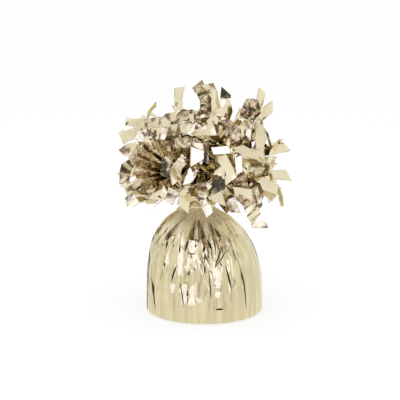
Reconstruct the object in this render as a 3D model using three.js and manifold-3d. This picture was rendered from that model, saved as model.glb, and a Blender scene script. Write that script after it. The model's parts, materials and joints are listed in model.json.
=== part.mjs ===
// A foil-wrapped balloon weight: a cup cast full of plaster, wrapped in one sheet of metallised film that is
// gathered, tied with a twist tie and slit into a fringe of strips. The base stands on Z = 0 with the origin
// at its centre, -Y is the front, and all lengths are in millimetres.
import * as THREE from "three";
import Module from "manifold-3d";
import { mergeVertices } from "three/addons/utils/BufferGeometryUtils.js";

const wasm = await Module();
wasm.setup();

// Film and the gap left between touching pieces
const filmThickness = 0.4; // stands in for real film, which is a tenth of this
const clearance = 0.3;

// Cup and plaster
const cupRimRadius = 31.7;
const cupRimWidth = 0.6; // the rim stands this far proud of the wall
const cupRimBand = 0.6; // upright part of the rim, above its rounded edge
const cupWall = 0.8;
const gatherRoom = 6; // hollow left between the cup and the top of the film's dome
const pourDepth = 1; // the plaster stops this far inside the mouth

// Wrapped body
const domeHeight = 59; // where the film's dome would close if it had no neck
const domeRoundness = 3.1; // exponent of the gumdrop profile
const baseRadius = cupRimRadius + clearance + filmThickness;
const rimRounding = cupWall + cupRimWidth;
const edgeRadius = rimRounding + clearance + filmThickness;

// Gather, neck and ruff of the film
const neckRadius = 8;
const neckRise = 1.5; // from where the dome would close to the start of the neck
const neckStart = domeHeight + neckRise;
const neckLength = 4;
const neckShift = -2.8; // the gather leans this far along X
const leanStart = 20; // height where the lean begins
const shoulderRadius = 15; // where the dome turns into the gather
const gatherTurn = 0.67; // share of the gather's height at which it turns upright
const ruffRadius = 11.5;
const ruffHeight = 4;
const ruffTurn = 0.7; // share of the ruff's height at which it turns outwards

// Pleats
const pleatCount = 20;
const pleatDepth = 1.1; // at the shoulder
const pleatsFullAt = 0.9; // share of the dome's height at which pleats have that depth
const pleatVariety = 0.25; // share of the depth that differs from pleat to pleat
const pleatVarietyWaves = [5, 3]; // in two waves round the body
const neckPleatDepth = 0.7;
const ruffPleatDepth = 1.2;
const smoothPanelAngle = -28; // centre of the stretch that is pulled smooth, in degrees
const smoothPanelWidth = 32;
const smoothPanelShare = 0.9; // how much of the relief it takes away

// Crushed facets. Each wave is a row of straight folds that cross the body at a slant: how many there are
// round it, the height over which one climbs its own breadth, its share of the depth, and where it starts.
// Each is strong in some patches and weak in others.
const crushDepth = 3;
const crushWaves = [
  { count: 7, climb: 46, share: 1, start: 0.1, patches: 5, patchStart: 1 },
  { count: 11, climb: -37, share: 1, start: 0.6, patches: 4, patchStart: 3 },
  { count: 17, climb: 64, share: 0.9, start: 0.3, patches: 7, patchStart: 5 },
];
const crushPlaces = [
  { angle: -92, width: 38, share: 1 },
  { angle: 70, width: 36, share: 0.7 },
  { angle: 165, width: 26, share: 0.5 },
];
const crushElsewhere = 0.3; // share of the depth away from those places
const crushStart = 0.1; // shares of the dome's height between which the crush grows
const crushFull = 0.3;
const crushFades = 0.7; // and from which it dies out towards the neck
const patchHeight = 9; // height over which a patch shifts by a radian

// Twist tie
const tieWidth = 3;
const tieThickness = 0.6;
const tailLength = 13;
const tailTurns = 2.5;
const tailDroop = 24; // degrees below level
const tailAngle = 90; // the tail lies at the back

// Fringe strips
const stripLength = 50; // past the stem, on a strip of share 1 in the list below
const stripWidth = 7;
const stemFill = 0.68; // a gathered stem fills this share of its place in the neck
const stemLength = 4.5;
const bendLength = 8; // a strip turns from upright to its rise over this
const spreadLength = 24; // and opens to its full width over this
const crinkleDepth = 0.8; // of the folds across a strip
const stripSway = 5; // degrees that a strip turns aside by its tip
const stripTwist = 25; // degrees that it turns about its own length
const droopPower = 1.4; // above 1, a strip droops more towards its tip
const upperShare = 0.92; // length of the upper strip of a pair, as a share of the lower one's

const radians = THREE.MathUtils.degToRad;
const smooth = THREE.MathUtils.smoothstep;

// A closed mesh from rings of points, each ring having as many as the next. Flat ends close it.
function loft(rings) {
  const sides = rings[0].length;
  const vertices = rings.flat();
  const at = (ring, side) => ring * sides + (side % sides);
  const faces = [];
  for (let ring = 0; ring + 1 < rings.length; ring++) {
    for (let side = 0; side < sides; side++) {
      const low = at(ring, side);
      const lowNext = at(ring, side + 1);
      const high = at(ring + 1, side);
      const highNext = at(ring + 1, side + 1);
      faces.push(low, lowNext, highNext, low, highNext, high);
    }
  }
  const last = rings.length - 1;
  for (let side = 1; side + 1 < sides; side++) {
    faces.push(at(0, 0), at(0, side + 1), at(0, side));
    faces.push(at(last, 0), at(last, side), at(last, side + 1));
  }
  const geometry = new THREE.BufferGeometry().setFromPoints(vertices);
  geometry.setIndex(faces);
  geometry.computeVertexNormals();
  return geometry;
}

// A solid of revolution about Z from [radius, height] pairs.
function revolve(profile, segments) {
  const points = profile.map(([radius, height]) => new THREE.Vector2(radius, height));
  return new THREE.LatheGeometry(points, segments).rotateX(Math.PI / 2);
}

function toManifold(geometry) {
  const bare = geometry.clone();
  bare.deleteAttribute("normal");
  bare.deleteAttribute("uv");
  const merged = mergeVertices(bare, 1e-4);
  return new wasm.Manifold(
    new wasm.Mesh({
      numProp: 3,
      vertProperties: merged.attributes.position.array,
      triVerts: new Uint32Array(merged.index.array),
    }),
  );
}

function toGeometry(manifold) {
  const mesh = manifold.getMesh();
  const geometry = new THREE.BufferGeometry();
  geometry.setAttribute("position", new THREE.BufferAttribute(mesh.vertProperties, 3));
  geometry.setIndex(new THREE.BufferAttribute(mesh.triVerts, 1));
  geometry.computeVertexNormals();
  return geometry;
}

// Two solids as one, without the slivers that the boolean leaves where their surfaces nearly meet.
function joined(one, other) {
  const sliver = 0.01;
  return toGeometry(toManifold(one).add(toManifold(other)).asOriginal().simplify(sliver));
}

// Gumdrop profile: the radius at a height, upright at the foot and round at the top.
function gumdropRadius(z, foot, height) {
  return foot * Math.sqrt(1 - Math.pow(z / height, domeRoundness));
}

// The height at which a gumdrop has shrunk to a radius.
function gumdropHeight(radius, foot, height) {
  return height * Math.pow(1 - Math.pow(radius / foot, 2), 1 / domeRoundness);
}

// Outer profile of the film from the base centre to the ruff's rim: radius, height and pleat depth.
function filmProfile() {
  const rows = [{ radius: 0, z: 0, pleat: 0 }];
  const edgeSteps = 3;
  for (let step = 0; step <= edgeSteps; step++) {
    const angle = (Math.PI / 2) * (step / edgeSteps);
    rows.push({
      radius: baseRadius - edgeRadius + edgeRadius * Math.sin(angle),
      z: edgeRadius * (1 - Math.cos(angle)),
      pleat: 0,
    });
  }
  const shoulderZ = gumdropHeight(shoulderRadius, baseRadius, domeHeight);
  const domeSteps = 8;
  for (let step = 1; step <= domeSteps; step++) {
    const share = Math.sin((Math.PI / 2) * (step / domeSteps));
    const z = edgeRadius + (shoulderZ - edgeRadius) * share;
    const radius = gumdropRadius(z, baseRadius, domeHeight);
    rows.push({ radius, z, pleat: pleatDepth * smooth(share, 0, pleatsFullAt) });
  }
  const gather = new THREE.QuadraticBezierCurve(
    new THREE.Vector2(shoulderRadius, shoulderZ),
    new THREE.Vector2(neckRadius, THREE.MathUtils.lerp(shoulderZ, neckStart, gatherTurn)),
    new THREE.Vector2(neckRadius, neckStart),
  );
  const gatherSteps = 3;
  for (let step = 1; step <= gatherSteps; step++) {
    const share = step / gatherSteps;
    const point = gather.getPoint(share);
    rows.push({
      radius: point.x,
      z: point.y,
      pleat: THREE.MathUtils.lerp(pleatDepth, neckPleatDepth, share),
    });
  }
  const neckTop = neckStart + neckLength;
  const ruff = new THREE.QuadraticBezierCurve(
    new THREE.Vector2(neckRadius, neckTop),
    new THREE.Vector2(neckRadius, neckTop + ruffHeight * ruffTurn),
    new THREE.Vector2(ruffRadius, neckTop + ruffHeight),
  );
  for (const share of [0, 0.5, 1]) {
    const point = ruff.getPoint(share);
    rows.push({
      radius: point.x,
      z: point.y,
      pleat: THREE.MathUtils.lerp(neckPleatDepth, ruffPleatDepth, share),
    });
  }
  return rows;
}

// The film's inner side: every row moved in by the film's thickness, square to the profile.
function innerRows(rows) {
  return rows.map((row, index) => {
    const before = rows[Math.max(index - 1, 0)];
    const after = rows[Math.min(index + 1, rows.length - 1)];
    const along = new THREE.Vector2(after.radius - before.radius, after.z - before.z).normalize();
    return {
      radius: Math.max(row.radius - along.y * filmThickness, 0),
      z: row.z + along.x * filmThickness,
      pleat: row.pleat,
      outerZ: row.z,
    };
  });
}

// A pleat has a ridge, a valley and a point half-way on each side.
const pleatColumns = 4;

// How far a pleat stands out at a column, from -1 in a valley to 1 on a ridge.
function pleatWave(column) {
  const wave = Math.cos((2 * Math.PI * column) / pleatColumns);
  const angle = (360 * column) / (pleatCount * pleatColumns);
  const [first, second] = pleatVarietyWaves;
  const variety = Math.sin(radians(angle * first)) * Math.cos(radians(angle * second));
  return wave * (1 - pleatVariety + pleatVariety * variety);
}

// 1 in one direction from the axis, falling off to both sides. Angles are in degrees.
function bellAt(angle, centre, width) {
  const off = THREE.MathUtils.euclideanModulo(angle - centre + 180, 360) - 180;
  return Math.exp(-Math.pow(off / width, 2));
}

// A triangle wave from -1 to 1, which makes flat facets between straight folds.
function foldWave(phase) {
  return 4 * Math.abs(THREE.MathUtils.euclideanModulo(phase, 1) - 0.5) - 1;
}

// How far the crushed film stands out at a direction in degrees and a height.
function crushAt(angle, z) {
  const level = z / domeHeight;
  const grown = smooth(level, crushStart, crushFull) * (1 - smooth(level, crushFades, 1));
  const place = crushPlaces.reduce(
    (sum, spot) => sum + spot.share * bellAt(angle, spot.angle, spot.width),
    crushElsewhere,
  );
  const waves = crushWaves.map((wave) => {
    const patch = 0.5 + 0.5 * Math.sin(radians(angle) * wave.patches + z / patchHeight + wave.patchStart);
    return wave.share * patch * foldWave((angle / 360) * wave.count + z / wave.climb + wave.start);
  });
  const total = crushWaves.reduce((sum, wave) => sum + wave.share, 0);
  const height = waves.reduce((sum, wave) => sum + wave, 0) / total;
  return crushDepth * height * place * grown;
}

// The deepest that the film can sink at a height before it would come within a clearance of the cup.
function roomAt(z, radius) {
  const above = z - cupMouth;
  const under = above > 0 && above < cupHeight ? gumdropRadius(above, cupFoot, cupHeight) : 0;
  return Math.max(radius - filmThickness - clearance - under, 0);
}

// The sideways lean of the film's centre line at a height.
function leanAt(z) {
  return neckShift * smooth(z, leanStart, neckStart);
}

// One sheet of film: flat under the base, pleated up the dome, gathered at the neck and flared above it.
function filmWrap() {
  const outer = filmProfile();
  const rows = [...outer, ...innerRows(outer).reverse()];
  const columns = pleatCount * pleatColumns;
  const rings = rows.slice(1, -1).map((row) =>
    Array.from({ length: columns }, (_, column) => {
      const degrees = (360 * column) / columns;
      const outerZ = row.outerZ ?? row.z;
      const calm = 1 - smoothPanelShare * bellAt(degrees, smoothPanelAngle, smoothPanelWidth);
      const relief = calm * ((row.pleat / 2) * pleatWave(column) + crushAt(degrees, outerZ));
      const radius = row.radius + Math.max(relief, -roomAt(outerZ, row.radius));
      const angle = radians(degrees);
      return new THREE.Vector3(leanAt(row.z) + radius * Math.cos(angle), radius * Math.sin(angle), row.z);
    }),
  );
  return poled(rings, rows[0].z, rows[rows.length - 1].z);
}

// Rings closed at both ends by a fan to a point on the axis.
function poled(rings, startZ, endZ) {
  const columns = rings[0].length;
  const vertices = [...rings.flat(), new THREE.Vector3(0, 0, startZ), new THREE.Vector3(0, 0, endZ)];
  const start = vertices.length - 2;
  const end = vertices.length - 1;
  const last = (rings.length - 1) * columns;
  const faces = [];
  for (let column = 0; column < columns; column++) {
    const next = (column + 1) % columns;
    faces.push(start, next, column, end, last + column, last + next);
    for (let ring = 0; ring + 1 < rings.length; ring++) {
      const low = ring * columns;
      const high = low + columns;
      faces.push(low + column, low + next, high + next, low + column, high + next, high + column);
    }
  }
  const geometry = new THREE.BufferGeometry().setFromPoints(vertices);
  geometry.setIndex(faces);
  geometry.computeVertexNormals();
  return geometry;
}

// Cup and plaster share one gumdrop form, each a wall or a clearance inside the next.
const cupMouth = filmThickness + clearance; // height of the cup's open mouth
const cupFoot = cupRimRadius - cupRimWidth;
const cupHeight = domeHeight - gatherRoom - cupMouth;
const roundSteps = 32;

// Rows of a gumdrop from a height above the cup's mouth up to its pole.
function gumdropRows(foot, height, from) {
  const steps = 7;
  return Array.from({ length: steps + 1 }, (_, step) => {
    const z = from + (height - from) * Math.sin((Math.PI / 2) * (step / steps));
    return [step === steps ? 0 : gumdropRadius(z, foot, height), cupMouth + z];
  });
}

// A moulded dome with its mouth down, and a rim round the mouth whose lower edge is rounded.
function cup() {
  const inner = gumdropRows(cupFoot - cupWall, cupHeight - cupWall, 0).reverse();
  const roundingSteps = 3;
  const rounding = Array.from({ length: roundingSteps }, (_, step) => {
    const angle = (Math.PI / 2) * ((step + 1) / roundingSteps);
    return [
      cupRimRadius - rimRounding * (1 - Math.sin(angle)),
      cupMouth + rimRounding * (1 - Math.cos(angle)),
    ];
  });
  const rimTop = rimRounding + cupRimBand;
  const rim = [...rounding, [cupRimRadius, cupMouth + rimTop]];
  return revolve([...inner, ...rim, ...gumdropRows(cupFoot, cupHeight, rimTop)], roundSteps);
}

// Plaster cast in the cup, with its poured face flat and a little inside the mouth.
function plaster() {
  const foot = cupFoot - cupWall - clearance;
  const height = cupHeight - cupWall - clearance;
  return revolve([[0, cupMouth + pourDepth], ...gumdropRows(foot, height, pourDepth)], roundSteps);
}

// Twist tie: a flat ribbon with a wire in it, once round the neck. Its two ends are twisted into a tail,
// which is two ribbons thick.
const tieInner = neckRadius + neckPleatDepth / 2 + clearance;
const tieZ = neckStart + neckLength / 2;

function tie() {
  const outer = tieInner + tieThickness;
  const low = tieZ - tieWidth / 2;
  const high = low + tieWidth;
  const section = [[tieInner, low], [outer, low], [outer, high], [tieInner, high], [tieInner, low]];
  const band = revolve(section, roundSteps);
  const steps = 24;
  const droop = radians(tailDroop);
  const along = new THREE.Vector3(Math.cos(droop), 0, -Math.sin(droop));
  const up = new THREE.Vector3(Math.sin(droop), 0, Math.cos(droop));
  const across = new THREE.Vector3(0, 1, 0);
  const rings = [];
  for (let step = 0; step <= steps; step++) {
    const share = step / steps;
    const turn = 2 * Math.PI * tailTurns * share;
    const centre = new THREE.Vector3(tieInner + tieThickness / 2, 0, tieZ);
    centre.addScaledVector(along, tailLength * share);
    const broad = up.clone().applyAxisAngle(along, turn);
    const thin = across.clone().applyAxisAngle(along, turn);
    const corner = (b, t) =>
      centre
        .clone()
        .addScaledVector(broad, (b * tieWidth) / 2)
        .addScaledVector(thin, t * tieThickness);
    rings.push([corner(-1, -1), corner(-1, 1), corner(1, 1), corner(1, -1)]);
  }
  return joined(band, loft(rings)).rotateZ(radians(tailAngle));
}

// The strips, tier by tier from the outside of the neck to its middle. A tier's pairs are spread evenly round
// Z from its first direction, and their stems stand in a ring of their own. Each row is the lower strip of a
// pair: its rise above level where it leaves the neck, its droop by the tip, both in degrees, and its share
// of stripLength. The upper one rises more by the tier's lift.
const tiers = {
  hanging: {
    first: -4,
    lift: 10,
    strips: [
      [6, 56, 0.92],
      [5, 42, 0.84],
      [4, 38, 0.88],
      [5, 44, 0.86],
      [3, 40, 0.88],
      [4, 46, 0.86],
      [4, 42, 0.88],
      [5, 52, 0.88],
      [8, 56, 0.86],
      [8, 42, 0.82],
      [8, 44, 0.78],
      [6, 46, 0.66],
      [6, 46, 0.66],
      [6, 54, 0.76],
      [6, 48, 0.84],
    ],
  },
  low: {
    first: 8,
    lift: 9,
    strips: [
      [24, 36, 0.96],
      [24, 38, 0.94],
      [26, 44, 0.96],
      [24, 34, 0.92],
      [26, 40, 0.94],
      [26, 40, 0.98],
      [28, 58, 0.9],
      [28, 56, 0.92],
      [28, 54, 0.84],
      [26, 54, 0.76],
      [28, 56, 0.8],
      [28, 112, 1.04],
      [24, 42, 0.96],
    ],
  },
  middle: {
    first: -5,
    lift: 7,
    strips: [
      [38, 20, 1.1],
      [40, 34, 1.02],
      [42, 36, 1.04],
      [42, 40, 1.02],
      [43, 34, 1.02],
      [43, 42, 1.02],
      [42, 56, 0.98],
      [42, 60, 0.84],
      [41, 54, 0.86],
      [38, 46, 1],
    ],
  },
  high: {
    first: 4,
    lift: 4,
    strips: [
      [50, -6, 1.26],
      [56, 36, 1.08],
      [54, 34, 1.1],
      [53, 44, 1.14],
      [56, 54, 1.12],
      [54, 60, 0.96],
      [53, 54, 0.98],
    ],
  },
  crown: {
    first: 6,
    lift: 4,
    strips: [
      [56, -16, 1.4],
      [63, 20, 1.14],
      [62, 12, 1.14],
      [63, 50, 1.08],
      [66, 56, 1.04],
    ],
  },
  top: {
    first: 185,
    lift: -4,
    strips: [
      [79, 2, 1.24],
      [86, 0, 1.26],
      [77, 12, 1.2],
    ],
  },
};

// The outer ring of stems is two clearances inside the neck's bore, because a flat stem's corners reach out.
const neckBore = neckRadius - neckPleatDepth / 2 - filmThickness;
const outerStemRing = neckBore - 2 * clearance - filmThickness / 2;
const stemRingSpacing = outerStemRing / Object.keys(tiers).length;

// Sections of one strip from the top of its stem to its tip. It bends over from upright to its rise while it
// parts from its neighbour, then widens, crinkles and droops. With a hand of -1 it sways and twists the other
// way. Each section's corners run from the strip's inner left one round to its inner right one.
function stripRings(foot, width, direction, parting, hand, [rise, droop, share]) {
  const free = stripLength * share - bendLength;
  const headingAt = (distance) => {
    const bent = smooth(distance, 0, bendLength);
    const past = Math.max(distance - bendLength, 0) / free;
    return {
      elevation: radians(90 + (rise - 90) * bent - droop * Math.pow(past, droopPower)),
      yaw: radians(direction + parting * bent + hand * stripSway * past),
      turn: radians(hand * stripTwist) * past,
    };
  };
  const forwardAt = ({ elevation, yaw }) => {
    const level = Math.cos(elevation);
    return new THREE.Vector3(level * Math.cos(yaw), level * Math.sin(yaw), Math.sin(elevation));
  };

  const bendSteps = 2;
  const freeSteps = 4;
  const stations = [0];
  for (let step = 1; step <= bendSteps; step++) {
    stations.push((bendLength * step) / bendSteps);
  }
  for (let step = 1; step <= freeSteps; step++) {
    stations.push(bendLength + (free * step) / freeSteps);
  }

  const substeps = 6;
  const point = foot.clone();
  return stations.map((distance, index) => {
    const reached = index ? stations[index - 1] : 0;
    const pace = (distance - reached) / substeps;
    for (let sub = 0; sub < substeps; sub++) {
      point.addScaledVector(forwardAt(headingAt(reached + pace * (sub + 0.5))), pace);
    }
    const heading = headingAt(distance);
    const forward = forwardAt(heading);
    const level = new THREE.Vector3(-Math.sin(heading.yaw), Math.cos(heading.yaw), 0);
    const side = level.applyAxisAngle(forward, heading.turn);
    const face = new THREE.Vector3().crossVectors(side, forward);
    const open = THREE.MathUtils.lerp(width, stripWidth, smooth(distance, 0, spreadLength));
    const folded = distance > bendLength && index + 1 < stations.length;
    const crinkle = folded ? (crinkleDepth / 2) * (index % 2 ? hand : -hand) : 0;
    const corner = (across, out) =>
      point
        .clone()
        .addScaledVector(side, (across * open) / 2)
        .addScaledVector(face, crinkle + (out * filmThickness) / 2);
    return [corner(-1, -1), corner(-1, 1), corner(1, 1), corner(1, -1)];
  });
}

// A pair of strips slit from one gathered stem: a lower one on the right of the stem and an upper one, which
// rises more by the tier's lift, on its left. Each turns aside by the parting. They make one solid, because
// they still lie over each other where they leave the stem.
function stripPair(stemRing, direction, stemWidth, parting, hand, lift, [rise, droop, share]) {
  const azimuth = radians(direction);
  const out = new THREE.Vector3(Math.cos(azimuth), Math.sin(azimuth), 0);
  const side = new THREE.Vector3(-out.y, out.x, 0);
  const onStem = (across, through, z) =>
    new THREE.Vector3(0, 0, z)
      .addScaledVector(out, stemRing + (through * filmThickness) / 2)
      .addScaledVector(side, (across * stemWidth) / 2);
  const stemTop = neckStart + stemLength;
  const strip = (left, right, turn, way, row) => {
    const foot = onStem((left + right) / 2, 0, stemTop);
    const [, ...rings] = stripRings(foot, stemWidth / 2, direction, turn, way, row);
    const stem = [neckStart, stemTop].map((z) => [
      onStem(left, -1, z),
      onStem(left, 1, z),
      onStem(right, 1, z),
      onStem(right, -1, z),
    ]);
    return loft([...stem, ...rings]);
  };
  const lower = strip(-1, 0, -parting, hand, [rise, droop, share]);
  const upper = strip(0, 1, parting, -hand, [rise + lift, droop, share * upperShare]);
  return joined(lower, upper);
}

// A tier's pairs in order, each stem filling a set share of its place in the tier's ring. All of a tier's
// strips spread evenly, so the two of a pair part by a quarter of the spacing on each side of their stem.
function tierStrips({ first, lift, strips }, ring) {
  const stemRing = outerStemRing - ring * stemRingSpacing;
  const place = 2 * (stemRing - filmThickness / 2) * Math.tan(Math.PI / strips.length);
  const spacing = 360 / strips.length;
  return strips.map((row, index) => {
    const direction = first + spacing * index;
    const parting = spacing / 4;
    return stripPair(stemRing, direction, place * stemFill, parting, index % 2 ? -1 : 1, lift, row);
  });
}

// Materials
const film = new THREE.MeshStandardMaterial({ color: 0xd7cba7, roughness: 0.12, metalness: 1 });
const cupPlastic = new THREE.MeshStandardMaterial({ color: 0xf2f2ee, roughness: 0.45, metalness: 0 });
const castPlaster = new THREE.MeshStandardMaterial({ color: 0xe6e1d6, roughness: 0.95, metalness: 0 });
const tiePlastic = new THREE.MeshStandardMaterial({ color: 0xc9b777, roughness: 0.5, metalness: 0.2 });

function piece(name, geometry, material) {
  const mesh = new THREE.Mesh(geometry, material);
  mesh.name = name;
  return mesh;
}

const weight = new THREE.Group();
weight.add(
  piece("plaster_core", plaster(), castPlaster),
  piece("core_cup", cup(), cupPlastic),
  piece("foil_wrap", filmWrap(), film),
);

const gathered = new THREE.Group(); // everything that the leaning neck holds
gathered.position.x = neckShift;
gathered.add(piece("twist_tie", tie(), tiePlastic));
Object.entries(tiers).forEach(([tierName, tier], ring) => {
  tierStrips(tier, ring).forEach((geometry, index) => {
    const number = String(index + 1).padStart(2, "0");
    gathered.add(piece(`strip_${tierName}_${number}`, geometry, film));
  });
});
weight.add(gathered);

export default weight;
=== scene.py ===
"""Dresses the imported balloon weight: a crumpled foil wrap, a crinkled fringe, a twist tie, the hidden
core and the studio that they are photographed in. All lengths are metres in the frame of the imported
model, +Z up, -Y the front."""
import json
import math

import bpy
import numpy as np
from bpy.props import FloatProperty, FloatVectorProperty, IntProperty, PointerProperty
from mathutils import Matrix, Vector


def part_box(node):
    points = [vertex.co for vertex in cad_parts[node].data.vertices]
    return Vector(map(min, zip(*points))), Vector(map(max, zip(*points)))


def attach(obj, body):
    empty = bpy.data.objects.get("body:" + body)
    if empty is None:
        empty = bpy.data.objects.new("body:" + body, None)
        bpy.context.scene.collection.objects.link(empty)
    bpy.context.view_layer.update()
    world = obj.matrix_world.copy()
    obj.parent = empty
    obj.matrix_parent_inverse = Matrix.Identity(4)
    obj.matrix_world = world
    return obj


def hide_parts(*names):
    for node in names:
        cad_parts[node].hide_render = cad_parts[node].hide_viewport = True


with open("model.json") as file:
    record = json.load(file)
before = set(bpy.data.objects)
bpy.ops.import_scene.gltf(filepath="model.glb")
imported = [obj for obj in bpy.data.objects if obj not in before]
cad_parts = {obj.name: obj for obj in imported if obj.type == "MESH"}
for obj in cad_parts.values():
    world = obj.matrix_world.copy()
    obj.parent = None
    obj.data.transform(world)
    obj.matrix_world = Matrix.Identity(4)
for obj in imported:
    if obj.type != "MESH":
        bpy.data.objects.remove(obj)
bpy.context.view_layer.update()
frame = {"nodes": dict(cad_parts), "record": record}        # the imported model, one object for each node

bl_info = {
    "name": "Foil balloon weight",
    "version": (1, 0, 0),
    "blender": (4, 5, 0),
    "location": "3D View > Sidebar > Weight",
    "description": "Builds the wrap, fringe and tie of a foil-wrapped balloon weight and its studio",
    "category": "Add Mesh",
}

MM = 0.001
# The radius on which distances round the body are measured, and the neck's place and height above the
# dome
BODY_RADIUS = 32 * MM
NECK_ABOVE_DOME = 1.5 * MM
NECK_HEIGHT = 4 * MM
wrap_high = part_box("foil_wrap")[1]
colours = {entry["slot"]: tuple(entry["base_color"][:3]) for entry in frame["record"]["materials"]}


# Sizes and colours that a user would change


def a_length(name, default, description):
    """A length in the sidebar."""
    return FloatProperty(name=name, description=description, default=default, unit="LENGTH")


def an_angle(name, degrees, description):
    """An angle in the sidebar."""
    return FloatProperty(name=name, description=description, default=math.radians(degrees), subtype="ANGLE")


def a_count(name, default, description):
    """A whole number in the sidebar."""
    return IntProperty(name=name, description=description, default=default, min=0)


def a_colour(name, default, description):
    """A colour in the sidebar."""
    return FloatVectorProperty(name=name, description=description, default=default, subtype="COLOR", size=3)


class WrapSizes(bpy.types.PropertyGroup):
    """The wrapped body, up to the ruff above the neck."""

    radius: a_length("Base radius", wrap_high.y, "Radius of the wrapped body at its foot")
    dome_height: a_length("Dome height", 59 * MM, "Where the dome would close if it had no neck")
    edge_radius: a_length("Edge radius", 2.6 * MM, "Rounding of the bottom edge")
    neck_radius: a_length("Neck radius", 8 * MM, "Radius of the gathered neck")
    neck_shift: a_length("Neck lean", -2.8 * MM, "How far the neck stands aside along X")
    pleat_depth: a_length("Pleat depth", 2.8 * MM, "Depth of the pleats at the shoulder")
    crumple_depth: a_length("Crumple depth", 3.0 * MM, "Depth of the crushed facets at the front")
    seed: a_count("Seed", 7, "Which set of pleats and facets is drawn")


class FringeSizes(bpy.types.PropertyGroup):
    """The strips that the film is slit into above the neck."""

    width: a_length("Strip width", 7 * MM, "Width of a strip")
    length: a_length("Strip length", 50 * MM, "Length past the stem of a strip of share 1")
    thickness: a_length("Film thickness", 0.12 * MM, "Thickness of a strip")
    crush: a_length("Crush", 1.5 * MM, "Depth of the folds across a strip near its root")
    filling: a_count("Filling strips", 110, "Folded strips that fill the fringe")
    fold_angle: an_angle("Fold angle", 78, "Largest turn at a fold of a filling strip")
    seed: a_count("Seed", 21, "Which set of folds is drawn")


class Finishes(bpy.types.PropertyGroup):
    """Colours and gloss."""

    film: a_colour("Film", (0.64, 0.565, 0.352), "Colour of the metallised film")
    fringe: a_colour("Fringe", (0.75, 0.67, 0.465), "Colour of the film's slit strips")
    film_roughness: FloatProperty(
        name="Film roughness",
        description="Roughness of unworn film",
        default=0.1,
        min=0,
        max=1,
        subtype="FACTOR",
    )
    tie: a_colour("Tie", colours["tie_plastic"], "Colour of the twist tie")
    cup: a_colour("Cup", colours["cup_plastic"], "Colour of the cup")
    plaster: a_colour("Plaster", colours["cast_plaster"], "Colour of the plaster")


class Studio(bpy.types.PropertyGroup):
    """Camera and ground."""

    elevation: an_angle("Camera height", 12.4, "Angle above level")
    distance: a_length("Camera distance", 1.2, "From the target")
    view_width: a_length("View width", 221.4 * MM, "Width of the picture at the target")
    target_x: a_length("Target X", -2.55 * MM, "Aim of the camera")
    target_z: a_length("Target Z", 62.9 * MM, "Aim of the camera")
    ground: a_colour("Ground", (0.93, 0.93, 0.93), "Colour of the floor")


# Meshes from arrays


def smooth(value, low, high):
    """Smooth step: 0 below low, 1 above high, and 3t^2 - 2t^3 of the share t in between."""
    share = np.clip((value - low) / (high - low), 0, 1)
    return share * share * (3 - 2 * share)


def half_turn(angle):
    """An angle brought to between minus and plus half a turn."""
    return (angle + math.pi) % (2 * math.pi) - math.pi


def ring_faces(rows, columns):
    """Quads that join each row of a grid to the next, with the last column joined to the first."""
    row, column = np.meshgrid(np.arange(rows - 1), np.arange(columns), indexing="ij")
    here = row * columns + column
    beside = row * columns + (column + 1) % columns
    return np.stack([here, beside, beside + columns, here + columns], -1).reshape(-1, 4)


def add_piece(name, points, faces, material, slot, folds=None, replaces=(), crease_angle=35, **shares):
    """One object from points and faces. Edges within one fold line, and those sharper than crease_angle
    degrees, stay hard. folds holds each point's fold line, or -1. An attribute named crease is 1 on the
    fold lines, and each of the shares becomes an attribute of its own name, such as the one that makes
    the film duller and carries its painted shade and light, with one value for each point."""
    mesh = bpy.data.meshes.new(name)
    mesh.from_pydata(points, [], faces)
    mesh.shade_smooth()
    mesh.set_sharp_from_angle(angle=math.radians(crease_angle))
    if folds is not None:
        ends = np.zeros(len(mesh.edges) * 2, np.int32)
        mesh.edges.foreach_get("vertices", ends)
        ends = folds[ends.reshape(-1, 2)]
        hard = np.zeros(len(mesh.edges), bool)
        sharp = mesh.attributes.get("sharp_edge") or mesh.attributes.new("sharp_edge", "BOOLEAN", "EDGE")
        sharp.data.foreach_get("value", hard)
        hard |= (ends[:, 0] == ends[:, 1]) & (ends[:, 0] >= 0)
        sharp.data.foreach_set("value", hard)
        crease = mesh.attributes.new("crease", "FLOAT", "POINT")
        crease.data.foreach_set("value", (folds >= 0).astype(np.float32))
    for share, values in shares.items():
        made = mesh.attributes.new(share, "FLOAT", "POINT")
        made.data.foreach_set("value", values.astype(np.float32))
    mesh.materials.append(material)
    mesh.validate()
    piece = bpy.data.objects.new(name, mesh)
    bpy.context.scene.collection.objects.link(piece)
    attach(piece, "root")
    if replaces:
        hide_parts(*replaces)


def even_along(points, count):
    """A polyline resampled to count points at equal steps of its length."""
    steps = np.linalg.norm(np.diff(points, axis=0), axis=1)
    reached = np.concatenate([[0], np.cumsum(steps)])
    wanted = np.linspace(0, reached[-1], count)
    return np.stack([np.interp(wanted, reached, points[:, axis]) for axis in range(points.shape[1])], -1)


def bezier(start, pull, end, count):
    """A quadratic Bezier curve from start to end, drawn towards pull."""
    t = np.linspace(0, 1, count)[:, None]
    return (1 - t) ** 2 * np.array(start) + 2 * t * (1 - t) * np.array(pull) + t**2 * np.array(end)


# Shader nodes written as expressions


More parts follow.
